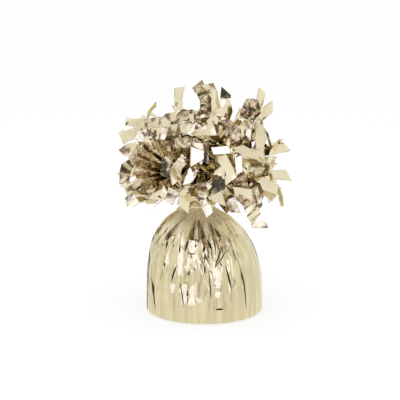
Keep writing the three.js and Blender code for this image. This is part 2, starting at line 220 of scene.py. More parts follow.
class Value:
    """A shader socket that Python's operators act on. Each operator adds the Math node of its name."""

    def __init__(self, shader, socket):
        self.shader = shader
        self.socket = socket

    def math(self, operation, *values):
        """A Math node with its inputs in order."""
        node = self.shader.tree.nodes.new("ShaderNodeMath")
        node.operation = operation
        for place, value in enumerate(values):
            self.shader.fill(node.inputs[place], value)
        return Value(self.shader, node.outputs[0])

    def __add__(self, other):
        return self.math("ADD", self, other)

    def __radd__(self, other):
        return self.math("ADD", other, self)

    def __sub__(self, other):
        return self.math("SUBTRACT", self, other)

    def __rsub__(self, other):
        return self.math("SUBTRACT", other, self)

    def __mul__(self, other):
        return self.math("MULTIPLY", self, other)

    def __rmul__(self, other):
        return self.math("MULTIPLY", other, self)

    def above(self, low, high):
        """0 below low, 1 above high and a straight ramp between."""
        node = self.shader.node("ShaderNodeMapRange", {"clamp": True}, Value=self)
        for name, value in (("From Min", low), ("From Max", high)):
            node.inputs[name].default_value = value
        return Value(self.shader, node.outputs[0])


class Shader:
    """A material whose nodes come from one method."""

    def __init__(self, name):
        self.material = bpy.data.materials.new(name)
        self.material.use_nodes = True
        self.tree = self.material.node_tree
        self.tree.nodes.clear()
        self.place = self.node("ShaderNodeTexCoord").outputs["Object"]

    def fill(self, socket, value):
        """Links a socket to another one, or sets its value."""
        if isinstance(value, Value):
            value = value.socket
        if isinstance(value, bpy.types.NodeSocket):
            self.tree.links.new(value, socket)
        else:
            socket.default_value = value

    def node(self, kind, settings=None, **values):
        """A node of one kind: its settings first, then the values or links of its sockets by name."""
        made = self.tree.nodes.new(kind)
        for name, value in (settings or {}).items():
            setattr(made, name, value)
        for name, value in values.items():
            self.fill(made.inputs[name.replace("_", " ")], value)
        return made

    def noise(self, scale, detail=2.0, distortion=0.0):
        """Cloudy noise on the piece's own coordinates, with scale in features per metre."""
        values = {"Scale": scale, "Detail": detail, "Distortion": distortion}
        return Value(self, self.node("ShaderNodeTexNoise", Vector=self.place, **values).outputs["Fac"])

    def cells(self, scale):
        """Distance to the nearest point of a scatter of points."""
        made = self.node("ShaderNodeTexVoronoi", Vector=self.place, Scale=scale)
        return Value(self, made.outputs["Distance"])

    def streaks(self, scale):
        """Noise drawn out along Z, as in fine upright pleats."""
        drawn = self.node("ShaderNodeMapping", Vector=self.place, Scale=(1, 1, 0.09)).outputs[0]
        made = self.node("ShaderNodeTexNoise", Vector=drawn, Scale=scale, Detail=1.0)
        return Value(self, made.outputs["Fac"])

    def attribute(self, name):
        """The piece's own attribute of this name."""
        made = self.node("ShaderNodeAttribute", {"attribute_name": name})
        return Value(self, made.outputs["Fac"])

    def mix(self, share, first, second):
        """A blend of two colours."""
        made = self.tree.nodes.new("ShaderNodeMix")
        made.data_type = "RGBA"
        for place, value in ((0, share), (6, first), (7, second)):
            self.fill(made.inputs[place], value)
        return made.outputs[2]

    def bump(self, height, strength, distance):
        """A normal tilted by a height."""
        return self.node("ShaderNodeBump", Height=height, Strength=strength, Distance=distance).outputs[0]

    def finish(self, **values):
        """The Principled shader and the output, with the sockets given."""
        surface = self.node("ShaderNodeBsdfPrincipled", **values)
        self.node("ShaderNodeOutputMaterial", Surface=surface.outputs[0])
        return self.material


def tint(colour, factor):
    """A colour times a factor, with full alpha."""
    return (*[min(part * factor, 1) for part in colour], 1)


# The film's painted colours: tan reflections and brown shade where it is crumpled and deep in the fringe
# near the strips' roots, and brown shade along its curled edges
CRUMPLE_REFLECTION_TAN = (0.58, 0.47, 0.26, 1)
CRUMPLE_SHADE_BROWN = (0.20, 0.105, 0.042, 1)
EDGE_SHADE_BROWN = (0.20, 0.12, 0.07, 1)


def foil_finish(name, colour, roughness, ripple):
    """Metallised film: a mirror that is slightly uneven in colour and gloss, rippled at the scale of a
    millimetre by ripple, paler and duller along its creases, where the coating has cracked, duller where
    it is crumpled and deep in the fringe, where it is painted with blotches of tan reflection and brown
    shade, and painted with brown shade along parts of its edges, which curl."""
    shader = Shader(name)
    cloud = shader.noise(70, 3)
    grain = shader.noise(1400, 2)
    crease = shader.attribute("crease").above(0.55, 1.0)
    worn = crease * shader.noise(500, 2).above(0.45, 0.75)
    # Where the film is crumpled, and deep in the fringe near the strips' roots, it is duller and painted
    # with shade and reflections
    dull_and_painted_light = shader.attribute("dull_and_painted_light")
    clean = shader.mix(cloud.above(0.3, 0.7), tint(colour, 0.97), tint(colour, 1.18))
    # Painted reflections: blotches of tan and of brown shade on crumpled film
    painted_reflection_blotch = shader.noise(330, 3, 2.0).above(0.44, 0.55)
    body = shader.mix(dull_and_painted_light, clean, shader.mix(painted_reflection_blotch, CRUMPLE_REFLECTION_TAN, CRUMPLE_SHADE_BROWN))
    whole = shader.mix(worn * 0.5, body, tint(colour, 1.25))
    # Painted shade along parts of the curled edges
    edge = shader.attribute("edge").above(0.78, 1.0) * shader.noise(160, 1).above(0.46, 0.56)
    ripples = shader.noise(230, 2, 0.6) + shader.noise(700, 1) * 0.3
    return shader.finish(
        Base_Color=shader.mix(edge * 0.7, whole, EDGE_SHADE_BROWN),
        Metallic=1.0,
        Roughness=roughness + cloud * 0.05 + grain * 0.03 + worn * 0.25 + dull_and_painted_light * 0.06,
        Normal=shader.bump(ripples, ripple, 0.4 * MM),
    )


# The wrap's painted colours: shade in its tight folds, under the neck and in its fine pleats, and light on
# its crumpled shoulder
FOLD_SHADE_PAINT = (0.045, 0.028, 0.016, 1)
NECK_SHADE_PAINT = (0.16, 0.095, 0.055, 1)
PLEAT_SHADE_PAINT = (0.34, 0.25, 0.155, 1)
SHOULDER_LIGHT_PAINT = (0.95, 0.85, 0.60, 1)

# Painted shade in folds pinched tight, and painted dark reflections along the body's sides: direction
# from the front in degrees, positive to the right, and in millimetres the height, half height, half width
# and how far the fold moves to the right for each one up
SHADED_FOLD_LINES = (
    (43, 20, 15, 0.5, -0.08), (26, 25.5, 7.5, 0.55, -0.11), (5.5, 22.4, 8.5, 0.35, 0),
    (17.8, 36.9, 5.6, 0.6, 0.54), (21, 36, 5, 0.5, 1.0), (2.6, 41.3, 1.7, 0.8, 0.5),
    (10, 43.2, 2.6, 1.0, -0.4), (-18.6, 43, 3.6, 0.8, 0.32), (-27, 40.8, 2.2, 0.4, 0),
    (-32.2, 27.5, 4.6, 0.6, 0.29), (-22.5, 16.5, 7, 0.3, -0.24), (-61.5, 14, 9.5, 0.9, -0.31),
    (14.6, 8.8, 0.6, 2.4, 0), (-50, 45.5, 1.8, 0.7, -0.22), (-48.5, 41.3, 2.4, 0.8, -0.22),
    (-46.5, 36, 1.6, 0.5, -0.22), (-44.5, 31.5, 1.3, 0.5, -0.22), (-39, 44.5, 2, 0.6, 0.4),
    (33, 40.5, 2.2, 0.3, 1.6), (24.6, 45.4, 0.9, 0.6, 1.2), (1.5, 30.6, 2.2, 0.5, 0),
    (-86, 33, 18, 1.5, -0.24), (88, 40, 12, 1.2, 0.26), (110, 22, 12, 0.5, -0.2), (133, 34, 5, 0.7, 0.5),
    (158, 20, 10, 0.5, 0.1), (-95, 33, 8, 0.6, -0.3), (-118, 18, 9, 0.5, 0.2), (-142, 37, 4, 0.9, -0.6),
    (-165, 26, 8, 0.4, 0),
)


# The heights between which the body leans aside, nearly as wrap_surface has it
LEAN_FROM = 20 * MM
LEAN_TO = 60 * MM


def painted_fold_shade(shader, lean):
    """1 inside the folds painted with shade. Each is a lens, where |s|/w + (t/h)^2 < 1 for the distances s
    across it and t along it, on a body unrolled round an axis that leans aside."""
    parts = shader.node("ShaderNodeSeparateXYZ", Vector=shader.place).outputs
    x, y, z = (Value(shader, part) for part in parts)
    aside = x - z.above(LEAN_FROM, LEAN_TO) * lean
    across = aside.math("ARCTAN2", aside, 0 - y) * BODY_RADIUS
    found = None
    for direction, height, half_height, half_width, slope in SHADED_FOLD_LINES:
        up = z - height * MM
        along = up * (1 / (half_height * MM))
        middle = up * slope + math.radians(direction) * BODY_RADIUS
        off = across - middle
        lens = 1 - (off.math("ABSOLUTE", off) * (1 / (half_width * MM)) + along * along)
        found = lens if found is None else found.math("MAXIMUM", found, lens)
    return found.above(-0.15, 0.1)


def wrap_finish(name, colour, roughness, lean):
    """The body's film: a mirror with painted shade in its tight folds, in its fine upright pleats and under
    the neck, and softer and painted paler, as light against the fringe's shade, where it is crumpled
    finely under the neck."""
    shader = Shader(name)
    cloud = shader.noise(70, 3)
    grain = shader.noise(1400, 2)
    # Where the film is crumpled finely under the neck it is duller, less metallic and painted paler, as
    # light against the fringe's shade
    soft = shader.attribute("dull_and_painted_light")
    # Painted shade in tight folds, and painted dark reflections along the sides
    folds = painted_fold_shade(shader, lean)
    drawn = shader.streaks(330)
    plain = shader.mix(cloud, tint(colour, 0.96), tint(colour, 1.06))
    # Fine lines of painted shade in the grooves of the pleats
    fine = shader.streaks(800).above(0.56, 0.66) * shader.attribute("pleated")
    bright = shader.mix(drawn.above(0.42, 0.7), plain, tint(colour, 1.22))
    clean = shader.mix(fine * 0.6, bright, PLEAT_SHADE_PAINT)
    under = shader.mix(soft, clean, SHOULDER_LIGHT_PAINT)
    # Painted shade in patches under the neck and the fringe
    crumpled = shader.mix(shader.attribute("brown"), under, NECK_SHADE_PAINT)
    ripples = shader.noise(230, 2, 0.6) * 0.7 + shader.noise(700, 1) * 0.15 + drawn * 1.1
    return shader.finish(
        Base_Color=shader.mix(folds, crumpled, FOLD_SHADE_PAINT),
        Metallic=1 - soft * 0.5,
        Roughness=roughness + cloud * 0.04 + grain * 0.03 + soft * 0.15,
        Normal=shader.bump(ripples - folds * 0.6, 0.3, 0.4 * MM),
    )


def tie_finish(name, colour):
    """Gold plastic with a fine lengthwise rib and a soft metallic sheen."""
    shader = Shader(name)
    cloud = shader.noise(150, 2)
    rub = shader.noise(900, 3)
    return shader.finish(
        Base_Color=shader.mix(cloud, tint(colour, 0.85), tint(colour, 1.1)),
        Metallic=0.6,
        Roughness=0.25 + rub * 0.2,
        Normal=shader.bump(rub, 0.2, 0.1 * MM),
    )


def cup_finish(name, colour):
    """Thin vacuum-formed plastic: milky, with faint flow marks and scuffs."""
    shader = Shader(name)
    flow = shader.noise(90, 4, 1.5)
    scuff = shader.noise(1200, 2)
    return shader.finish(
        Base_Color=shader.mix(flow, tint(colour, 0.93), tint(colour, 1.02)),
        Roughness=0.35 + scuff * 0.25,
        Normal=shader.bump(flow, 0.15, 0.2 * MM),
    )


def plaster_finish(name, colour):
    """Cast plaster: chalky, mottled, with pinholes left by air bubbles, painted darker as shade."""
    shader = Shader(name)
    mottle = shader.noise(120, 5)
    pits = 1 - shader.cells(700).above(0.12, 0.2)
    shade = shader.mix(mottle, tint(colour, 0.88), tint(colour, 1.05))
    return shader.finish(
        # Painted shade in the pinholes
        Base_Color=shader.mix(pits * 0.5, shade, tint(colour, 0.5)),
        Roughness=0.85 + mottle * 0.1,
        Normal=shader.bump(mottle - pits, 0.5, 0.3 * MM),
    )


# The wrapped body


# The outline's radius where the gather starts and at the ruff's rim, and the power of the dome
SHOULDER_RADIUS = 15 * MM
RUFF_RADIUS = 11.5 * MM
ROUNDNESS = 3.1
# Where the gather and the ruff turn, as shares of their heights
GATHER_TURN = 0.67
RUFF_TURN = 0.7
# Rows of points up the wall, and pleat lines round it
WALL_ROWS = 200
PLEATS = 62
# At each height in millimetres, how strong the pleats and the crushed facets are, and how far the wall
# reaches inside its outline, in millimetres
PLEAT_SHARES = (
    (0, 0), (8, 0.2), (20, 0.5), (34, 0.6), (46, 0.7), (54, 0.6), (60.5, 0.2), (64.5, 0.2), (68.8, 0.5),
)
FACET_SHARES = ((0, 0), (8, 0), (15, 0.8), (24, 1), (40, 1), (52, 0.6), (59, 0), (69, 0))
WALL_DEPTHS = (
    (0, 0.35), (4, 0.35), (12, 0.7), (20, 1), (30, 1.5), (40, 2.2), (52, 2), (60, 0.6), (69, 0.35),
)
# Waves of crushed facets: how many go round the body, the height in which one rises, in millimetres, and
# its strength
WAVES = ((7, 46, 1.0), (11, -37, 1.0), (17, 64, 0.9), (23, -52, 0.7), (13, 19, 0.6), (31, 30, 0.4))
# Where the film is crushed: how much, and the direction from +X and the breadth in degrees. The same two
# for the panel at the right that is stretched smooth, without pleats, facets and fine lines of painted
# shade
CRUSHED = ((1, -92, 38), (0.7, 70, 36), (0.5, 165, 26))
CALM_PLEATS = (-30, 34)
CALM_FACETS = (-28, 32)
CALM_LINES = (-28, 36)


def at_height(height, table):
    """Values for heights from a table of heights in millimetres and values, with straight lines between."""
    levels, values = np.array(table).T
    return np.interp(height, levels * MM, values)


def wrap_profile(sizes):
    """The film's outline as radius and height: a flat base, a quarter-round edge, the gumdrop dome whose
    radius is R sqrt(1 - (z/H)^p), a Bezier gather to the neck, and a Bezier ruff above it."""
    radius, edge, height, neck = sizes.radius, sizes.edge_radius, sizes.dome_height, sizes.neck_radius
    shoulder = height * (1 - (SHOULDER_RADIUS / radius) ** 2) ** (1 / ROUNDNESS)
    neck_low = height + NECK_ABOVE_DOME
    neck_high = neck_low + NECK_HEIGHT
    turn = np.linspace(0, math.pi / 2, 12)
    rounding = np.stack([radius - edge + edge * np.sin(turn), edge * (1 - np.cos(turn))], -1)
    z = np.linspace(edge, shoulder, 300)
    dome = np.stack([radius * np.sqrt(1 - (z / height) ** ROUNDNESS), z], -1)
    gather_turn = shoulder + GATHER_TURN * (neck_low - shoulder)
    gather = bezier((SHOULDER_RADIUS, shoulder), (neck, gather_turn), (neck, neck_low), 40)
    ruff_turn = neck_high + RUFF_TURN * (wrap_high.z - neck_high)
    ruff = bezier((neck, neck_high), (neck, ruff_turn), (RUFF_RADIUS, wrap_high.z), 30)
    wall = even_along(np.concatenate([rounding[:-1], dome[:-1], gather, ruff]), WALL_ROWS)
    flat = np.stack([np.linspace(0, radius - edge, 9)[1:-1], np.zeros(7)], -1)
    return np.concatenate([flat, wall])


def bump_at(angle, centre, width):
    """A bell round one direction: exp(-(offset/width)^2), with the offset wrapped to half a turn."""
    return np.exp(-((half_turn(angle - math.radians(centre)) / math.radians(width)) ** 2))


def fold_wave(phase):
    """A triangle wave from -1 to 1, which makes flat facets between straight creases."""
    return 4 * np.abs(phase % 1 - 0.5) - 1


def fold_lines(sizes, height, rng):
    """Ridge and valley lines that run down from the neck: each row's angles, and how far each line
    stands out. They are evenly spaced where the film is gathered, uneven at the foot, wander on the way,
    and each one dies out at a height of its own."""
    rows = height[:, None]
    steps = rng.uniform(0.3, 1.7, PLEATS)
    uneven = np.cumsum(steps / steps.sum()) * 2 * math.pi
    even = np.arange(1, PLEATS + 1) * 2 * math.pi / PLEATS
    loose = 1 - smooth(rows, 38 * MM, 60 * MM)
    wander = 0.012 * np.sin(rows / (5.5 * MM) + rng.uniform(0, 6.3, PLEATS)) * loose
    angle = even + (uneven - even) * loose + wander
    depth = rng.uniform(0.25, 1.0, PLEATS) * np.where(np.arange(PLEATS) % 2, 1, -1)
    foot = rng.uniform(6, 30, PLEATS) * MM
    lives = smooth(rows, foot, foot + 16 * MM)
    calm = 1 - 0.9 * bump_at(angle, *CALM_PLEATS) * loose
    ends = rng.uniform(34, 50, PLEATS) * MM
    stays = np.where(rng.uniform(0, 1, PLEATS) < 0.35, 1.0, 0.15)
    upper = 1 - (1 - stays) * smooth(rows, ends - 10 * MM, ends)
    share = at_height(rows, PLEAT_SHARES)
    return angle, depth * lives * upper * share * calm * sizes.pleat_depth / 2


def crumple(sizes, angle, height, rng):
    """How far the crushed film stands out: a sum of triangle waves that cross each other at a slant,
    whose creases bound flat facets. It is strongest at the front and the back and absent on the
    stretched panel."""
    turns = angle / (2 * math.pi)
    warp = 0.010 * np.sin(3 * angle + height / (7 * MM)) + 0.006 * np.sin(7 * angle - height / (4 * MM))
    total = np.zeros_like(angle)
    for count, rise, share in WAVES:
        patch = 0.55 + 0.45 * np.sin(angle * rng.integers(3, 8) + height / (9 * MM) + rng.uniform(0, 6.3))
        phase = (turns + warp) * count + height / (rise * MM) + rng.uniform(0, 1)
        total += share * patch * fold_wave(phase)
    weight = sum(share for _, _, share in WAVES)
    region = sum((share * bump_at(angle, *place) for share, *place in CRUSHED), 0.3)
    calm = 1 - 0.97 * bump_at(angle, *CALM_FACETS)
    share = at_height(height, FACET_SHARES)
    return sizes.crumple_depth / 2 * total / weight * 1.8 * region * calm * share


# Patches of painted shade under the neck and the fringe, each narrow at its top: direction from the front
# in degrees, middle height, half width, half height, and how far it moves to the right for each millimetre
# up
NECK_SHADE_PATCHES = (
    (-3, 50.5, 6.0, 5.5, 0), (22, 50.5, 3.2, 4.2, -0.5), (-44, 50, 2.6, 7, 0.5), (-62, 46, 2.0, 7, 0.4),
    (36, 47, 2.0, 4, -0.3), (150, 50, 6, 6, 0), (-140, 49, 4, 6, 0.3),
)

# Facets pressed flat at the front: direction from the front in degrees, height, half width and half height,
# and how far each face is turned to the right and upwards, in degrees
PRESSED = (
    (13.5, 27.6, 3.9, 8.0, 0, 9),
    (-12, 42.5, 3.5, 3.6, -2, -8),
    (-25, 33, 2.6, 7.0, 11, 4),
    (-34, 19.5, 2.2, 3.2, 19, 6),
    (-21, 16.5, 2.4, 7.0, 6, 8),
    (-42, 52, 5.5, 5.0, 6, -10),
    (172, 30, 4.5, 9.0, 0, 9),
    (-150, 24, 3.5, 8.0, 0, 6),
)


def pressed_facets(angle, height):
    """How far each point lies in a pressed facet, and how far the facets stand out: a plane s tan(a) - t
    tan(e) for the distances s to the right and t up from the middle, and the turns a and e."""
    share, out = np.zeros_like(angle), np.zeros_like(angle)
    for direction, level, half_width, half_height, turn, lift in PRESSED:
        across = half_turn(angle - math.radians(direction - 90)) * BODY_RADIUS
        up = height - level * MM
        narrow = 1 - 0.45 * np.clip(-up / (half_height * MM), 0, 1)
        inside = 1 - smooth(np.abs(across) / (half_width * narrow * MM), 0.8, 1.1)
        inside *= 1 - smooth(np.abs(up) / (half_height * MM), 0.85, 1.1)
        plane = -across * math.tan(math.radians(turn)) - up * math.tan(math.radians(lift))
        out = out * (1 - inside) + plane * inside
        share = np.maximum(share, inside)
    return share, out


# Streaks round the patches of painted shade, and the radius in millimetres on which the patches are
# measured
STREAKS = 240
SHOULDER_MM = 20


def neck_shade_patches(points, shift, rng):
    """How much painted shade the film takes under the neck and the fringe: streaks down the slope within
    patches, where 1 - |s|/w - (t/h)^4 > 0 for the distances s across a patch and t up it, on a shoulder
    unrolled round its axis. w shrinks towards the top."""
    angle = np.arctan2(points[:, 0] - shift, -points[:, 1])
    height = points[:, 2] / MM
    wander = np.sin(height * 0.5 + angle * 5) * 0.6
    position = ((angle / (2 * math.pi)) % 1) * STREAKS + wander
    table = np.tile(rng.uniform(0, 1, STREAKS), 3)
    streak = smooth(np.interp(position + STREAKS, np.arange(3 * STREAKS), table), 0.35, 0.6)
    share = np.zeros(len(points))
    for direction, level, half_width, half_height, slope in NECK_SHADE_PATCHES:
        up = height - level
        across = half_turn(angle - math.radians(direction)) * SHOULDER_MM - slope * up
        width = half_width * (1 - 0.75 * np.clip((up / half_height + 1) / 2, 0, 1))
        lens = 1 - np.abs(across) / width - (up / half_height) ** 4
        share = np.maximum(share, np.clip(lens * 4, 0, 1))
    return share * (0.25 + 0.75 * streak)


# Pinched grooves that run down the film: direction from +X in degrees at the floor and its change over the
# rise, low and high end and depth in millimetres
LONG_CREASES = (
    (-52, 5, 8, 40, 0.5), (-62, 3, 14, 44, 0.6), (-43, -3, 6, 20, 0.35), (-150, -4, 8, 46, 0.5),
    (-164, -3, 6, 38, 0.45), (12, 4, 8, 42, 0.45),
)
CREASE_RISE = 40 * MM
CREASE_HALF_WIDTH = 0.9 * MM
CREASE_FADE = 8


def long_creases(angle, height):
    """Thin pinched grooves that run down the stretched panel: each is a V that fades at both ends."""
    total = np.zeros_like(angle)
    for start, drift, low, high, depth in LONG_CREASES:
        line = math.radians(start) + math.radians(drift) * (height / CREASE_RISE)
        offset = np.abs(half_turn(angle - line)) * BODY_RADIUS
        fade = smooth(height, low * MM, (low + CREASE_FADE) * MM)
        fade = fade * (1 - smooth(height, (high - CREASE_FADE) * MM, high * MM))
        total -= depth * MM * np.clip(1 - offset / CREASE_HALF_WIDTH, 0, 1) * fade
    return total


def poled_faces(rows, columns):
    """Faces of a grid of rings, whose first and last ring each close on a pole. The two poles come after
    the grid's points."""
    column = np.arange(columns)
    beside = (column + 1) % columns
    pole, last = rows * columns, (rows - 1) * columns
    start = np.stack([np.full(columns, pole), beside, column], -1)
    end = np.stack([np.full(columns, pole + 1), last + column, last + beside], -1)
    return [*ring_faces(rows, columns).tolist(), *start.tolist(), *end.tolist()]


# Columns from one pleat's line to the next, rows outside for each row inside, and the least thickness of
# the film
SPACES = 6
INSIDE_STEP = 6
FILM = 0.15 * MM


def wrap_relief(sizes, height, rng):
    """The outside of the wrap: each row's directions, SPACES of them from one pleat line to the next, and
    how far pleats, facets and grooves move each point out of the outline."""
    line_angle, line_out = fold_lines(sizes, height, rng)
    share = np.arange(SPACES) / SPACES
    after = np.roll(line_angle, -1, axis=1)
    after[:, -1] += 2 * math.pi
    angle = line_angle[:, :, None] + (after - line_angle)[:, :, None] * share
    out = line_out[:, :, None] + (np.roll(line_out, -1, axis=1) - line_out)[:, :, None] * share
    angle = angle.reshape(len(height), -1)
    tall = np.broadcast_to(height[:, None], angle.shape)
    out = out.reshape(angle.shape) + crumple(sizes, angle, tall, rng) + long_creases(angle, tall)
    flat_share, flat_out = pressed_facets(angle, tall)
    return angle, out * (1 - flat_share) + flat_out


def wrap_surface(sizes):
    """The wrap as one closed surface: out from the base's centre and up the outside to the ruff's rim,
    then down the inside. Each point is its profile point moved along the outline's normal and turned
    round Z; the centre line leans aside towards the neck."""
    outline = wrap_profile(sizes)
    radius, height = outline.T
    tangent = np.gradient(outline, axis=0)
    tangent /= np.linalg.norm(tangent, axis=1)[:, None]
    angle, out = wrap_relief(sizes, height, np.random.default_rng(sizes.seed))
    depth = at_height(height, WALL_DEPTHS) * MM
    out = np.maximum(out, FILM - depth[:, None])
    inside = slice(None, None, -INSIDE_STEP)
    even = np.ones(angle.shape[1])
    inner_radius = (radius - depth * tangent[:, 1])[inside, None] * even
    inner_height = (height + depth * tangent[:, 0])[inside, None] * even
    all_radius = np.concatenate([radius[:, None] + out * tangent[:, 1:], inner_radius])
    all_height = np.concatenate([height[:, None] - out * tangent[:, :1], inner_height])
    all_angle = np.concatenate([angle, angle[inside]])
    lean = sizes.neck_shift * smooth(all_height, LEAN_FROM, sizes.dome_height + NECK_ABOVE_DOME)
    x = lean + all_radius * np.cos(all_angle)
    points = np.stack([x, all_radius * np.sin(all_angle), all_height], -1)
    rows, columns = all_radius.shape
    folds = np.full((rows, columns), -1, np.int32)
    folds[: len(height), ::SPACES] = np.arange(columns // SPACES)
    poles = [(0, 0, 0), (0, 0, float(all_height[-1].mean()))]
    points = np.concatenate([points.reshape(-1, 3), poles])
    return points, poled_faces(rows, columns), np.concatenate([folds.ravel(), [-1, -1]])


def wrap_shares(points, wrap):
    """The attributes of the wrap's points: one where it is crumpled finely towards the neck, above a wavy
    border, and is duller and painted paler as light; brown, for patches of painted shade under the neck;
    and pleated, where fine lines of painted shade run down it."""
    angle = np.arctan2(points[:, 1], points[:, 0])
    uneven = 3 * np.sin(5 * angle + 1) + 2 * np.sin(11 * angle) + np.sin(23 * angle)
    return {
        "dull_and_painted_light": smooth(points[:, 2] + uneven * MM, 42 * MM, 55 * MM),
        "brown": neck_shade_patches(points, wrap.neck_shift, np.random.default_rng(wrap.seed + 1)),
        "pleated": (1 - bump_at(angle, *CALM_LINES)) * smooth(points[:, 2], 4 * MM, 14 * MM),
    }


class WEIGHT_OT_foil_wrap(bpy.types.Operator):
    """Build the crumpled film round the cup, with its gathered neck and ruff"""

    bl_idname = "weight.foil_wrap"
    bl_label = "Foil wrap"

    def execute(self, context):
        wrap, finishes = context.scene.weight_wrap, context.scene.weight_finishes
        points, faces, folds = wrap_surface(wrap)
        finish = wrap_finish("wrap_film", finishes.film, finishes.film_roughness, wrap.neck_shift)
        shares = wrap_shares(points, wrap)
        add_piece("wrap_film", points, faces, finish, "wrap_foil", folds, ["foil_wrap"], **shares)
        return {"FINISHED"}


# The fringe


# A pair's stem inside the neck: its length, the share of its ring's breadth that it fills, and the radius
# of the outermost ring
STEM_LENGTH = 4.5 * MM
STEM_FILL = 0.68
OUTER_STEM_RING = 6.45 * MM
# How far past its stem a strip bends out and spreads to its full width, how far it sways and twists, in
# degrees, the power by which its droop gathers towards the tip, and a pair's upper strip's share of the
# length
BEND_LENGTH = 8 * MM
SPREAD_LENGTH = 24 * MM
SWAY = 5
TWIST = (25, 80)
DROOP_POWER = 1.4
UPPER_SHARE = 0.92
# Places across a strip, rows of points from one fold line to the next, and the angle in degrees from which
# a strip's edges are hard
ACROSS = np.linspace(-1, 1, 7)
PANEL_ROWS = 3
STRIP_CREASE = 50

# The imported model's pairs of strips, tier by tier: a tier's first direction and its lift, then each lower
# strip's rise and droop in degrees and its share of the strip length. The upper one rises more by the lift.
TIERS = {
    "hanging": (-4, 10, (
        (6, 56, 0.92), (5, 42, 0.84), (4, 38, 0.88), (5, 44, 0.86), (3, 40, 0.88), (4, 46, 0.86),
        (4, 42, 0.88), (5, 52, 0.88), (8, 56, 0.86), (8, 42, 0.82), (8, 44, 0.78), (6, 46, 0.66),
        (6, 46, 0.66), (6, 54, 0.76), (6, 48, 0.84),
    )),
    "low": (8, 9, (
        (24, 36, 0.96), (24, 38, 0.94), (26, 44, 0.96), (24, 34, 0.92), (26, 40, 0.94), (26, 40, 0.98),
        (28, 58, 0.9), (28, 56, 0.92), (28, 54, 0.84), (26, 54, 0.76), (28, 56, 0.8), (28, 112, 1.04),
        (24, 42, 0.96),
    )),
    "middle": (-5, 7, (
        (38, 20, 1.1), (40, 34, 1.02), (42, 36, 1.04), (42, 40, 1.02), (43, 34, 1.02), (43, 42, 1.02),
        (42, 56, 0.98), (42, 60, 0.84), (41, 54, 0.86), (38, 46, 1),
    )),
    "high": (4, 4, (
        (50, -6, 1.26), (56, 36, 1.08), (54, 34, 1.1), (53, 44, 1.14), (56, 54, 1.12), (54, 60, 0.96),
        (53, 54, 0.98),
    )),
    "crown": (6, 4, (
        (56, -16, 1.4), (63, 20, 1.14), (62, 12, 1.14), (63, 50, 1.08), (66, 56, 1.04),
    )),
    "top": (185, -4, (
        (79, 2, 1.24), (86, 0, 1.26), (77, 12, 1.2),
    )),
}


def strip_path(foot, direction, parting, rise, droop, length, sway, twist):
    """A strip's centre line with its side and face directions, at equal steps of its length. Its heading
    starts upright, bends to its rise while it parts from its neighbour, and falls by droop times the
    share of its free length to a power, while it sways aside and twists about itself."""
    count = 240
    bent = STEM_LENGTH + BEND_LENGTH
    along = np.linspace(0, STEM_LENGTH + length, count)
    past = np.clip((along - bent) / (length - BEND_LENGTH), 0, None)
    bend = smooth(along, STEM_LENGTH, bent)
    up = np.radians(90 + (rise - 90) * bend - droop * past**DROOP_POWER)
    yaw = np.radians(direction + parting * bend + sway * past)
    roll = np.radians(twist * past)
    forward = np.stack([np.cos(up) * np.cos(yaw), np.cos(up) * np.sin(yaw), np.sin(up)], -1)
    level = np.stack([-np.sin(yaw), np.cos(yaw), np.zeros(count)], -1)
    over = np.cross(forward, level)
    side = level * np.cos(roll)[:, None] + over * np.sin(roll)[:, None]
    face = np.cross(side, forward)
    steps = (forward[1:] + forward[:-1]) / 2 * along[1]
    centre = np.array(foot) + np.concatenate([np.zeros((1, 3)), np.cumsum(steps, axis=0)])
    return along, centre, side, face


def stem_foot(wrap, ring, direction, across=0):
    """The foot of a stem on a ring inside the neck, moved sideways by across."""
    turn = math.radians(direction)
    x = ring * math.cos(turn) - across * math.sin(turn)
    y = ring * math.sin(turn) + across * math.cos(turn)
    return np.array([x + wrap.neck_shift, y, wrap.dome_height + NECK_ABOVE_DOME])


def slab(sheet, thickness):
    """A closed slab round a grid of points: the sheet moved both ways along its normal by half the
    thickness. Its fold lines lie PANEL_ROWS rows apart."""
    normal = np.cross(np.gradient(sheet, axis=1), np.gradient(sheet, axis=0))
    normal /= np.linalg.norm(normal, axis=-1)[..., None]
    top = sheet + normal * thickness / 2
    bottom = sheet - normal * thickness / 2
    rings = np.concatenate([top, bottom[:, ::-1]], axis=1)
    rows, columns, _ = rings.shape
    fold_rows = np.full((rows, columns), -1, np.int32)
    fold_rows[::PANEL_ROWS] = np.arange(len(fold_rows[::PANEL_ROWS]))[:, None]
    quads = ring_faces(rows, columns)[:, ::-1]
    near = np.arange(columns // 2 - 1)
    first = np.stack([near, near + 1, columns - 2 - near, columns - 1 - near], -1)
    last = first[:, ::-1] + (rows - 1) * columns
    return rings.reshape(-1, 3), np.concatenate([quads, first, last]), fold_rows.ravel()


# The share of the gap between two fold lines that the difference of their slants may take up
SLANT_ROOM = 0.85


def limited_slants(slants, gaps, half):
    """Slants of neighbouring fold lines, held close enough that the lines don't cross within the strip."""
    held = slants.copy()
    for index in range(1, len(held)):
        room = SLANT_ROOM * gaps[index - 1] / half
        held[index] = np.clip(held[index], held[index - 1] - room, held[index - 1] + room)
    return held


def fold_slants(gaps, half, most, tip, rng):
    """Slants of fold lines across a strip: none at its foot, up to most degrees further on, and up to
    tip degrees at its end, held so that neighbouring lines don't cross."""
    slants = np.tan(np.radians(rng.uniform(-most, most, len(gaps) + 1)))
    slants[0] = 0
    slants[-1] = math.tan(math.radians(rng.uniform(-tip, tip)))
    return limited_slants(slants, gaps, half)


def strip_half(sizes, stem_width, along):
    """Half a strip's width at distances along it, from its stem's to the full one."""
    spread = smooth(along, STEM_LENGTH, STEM_LENGTH + SPREAD_LENGTH)
    return (stem_width + (sizes.width - stem_width) * spread) / 2


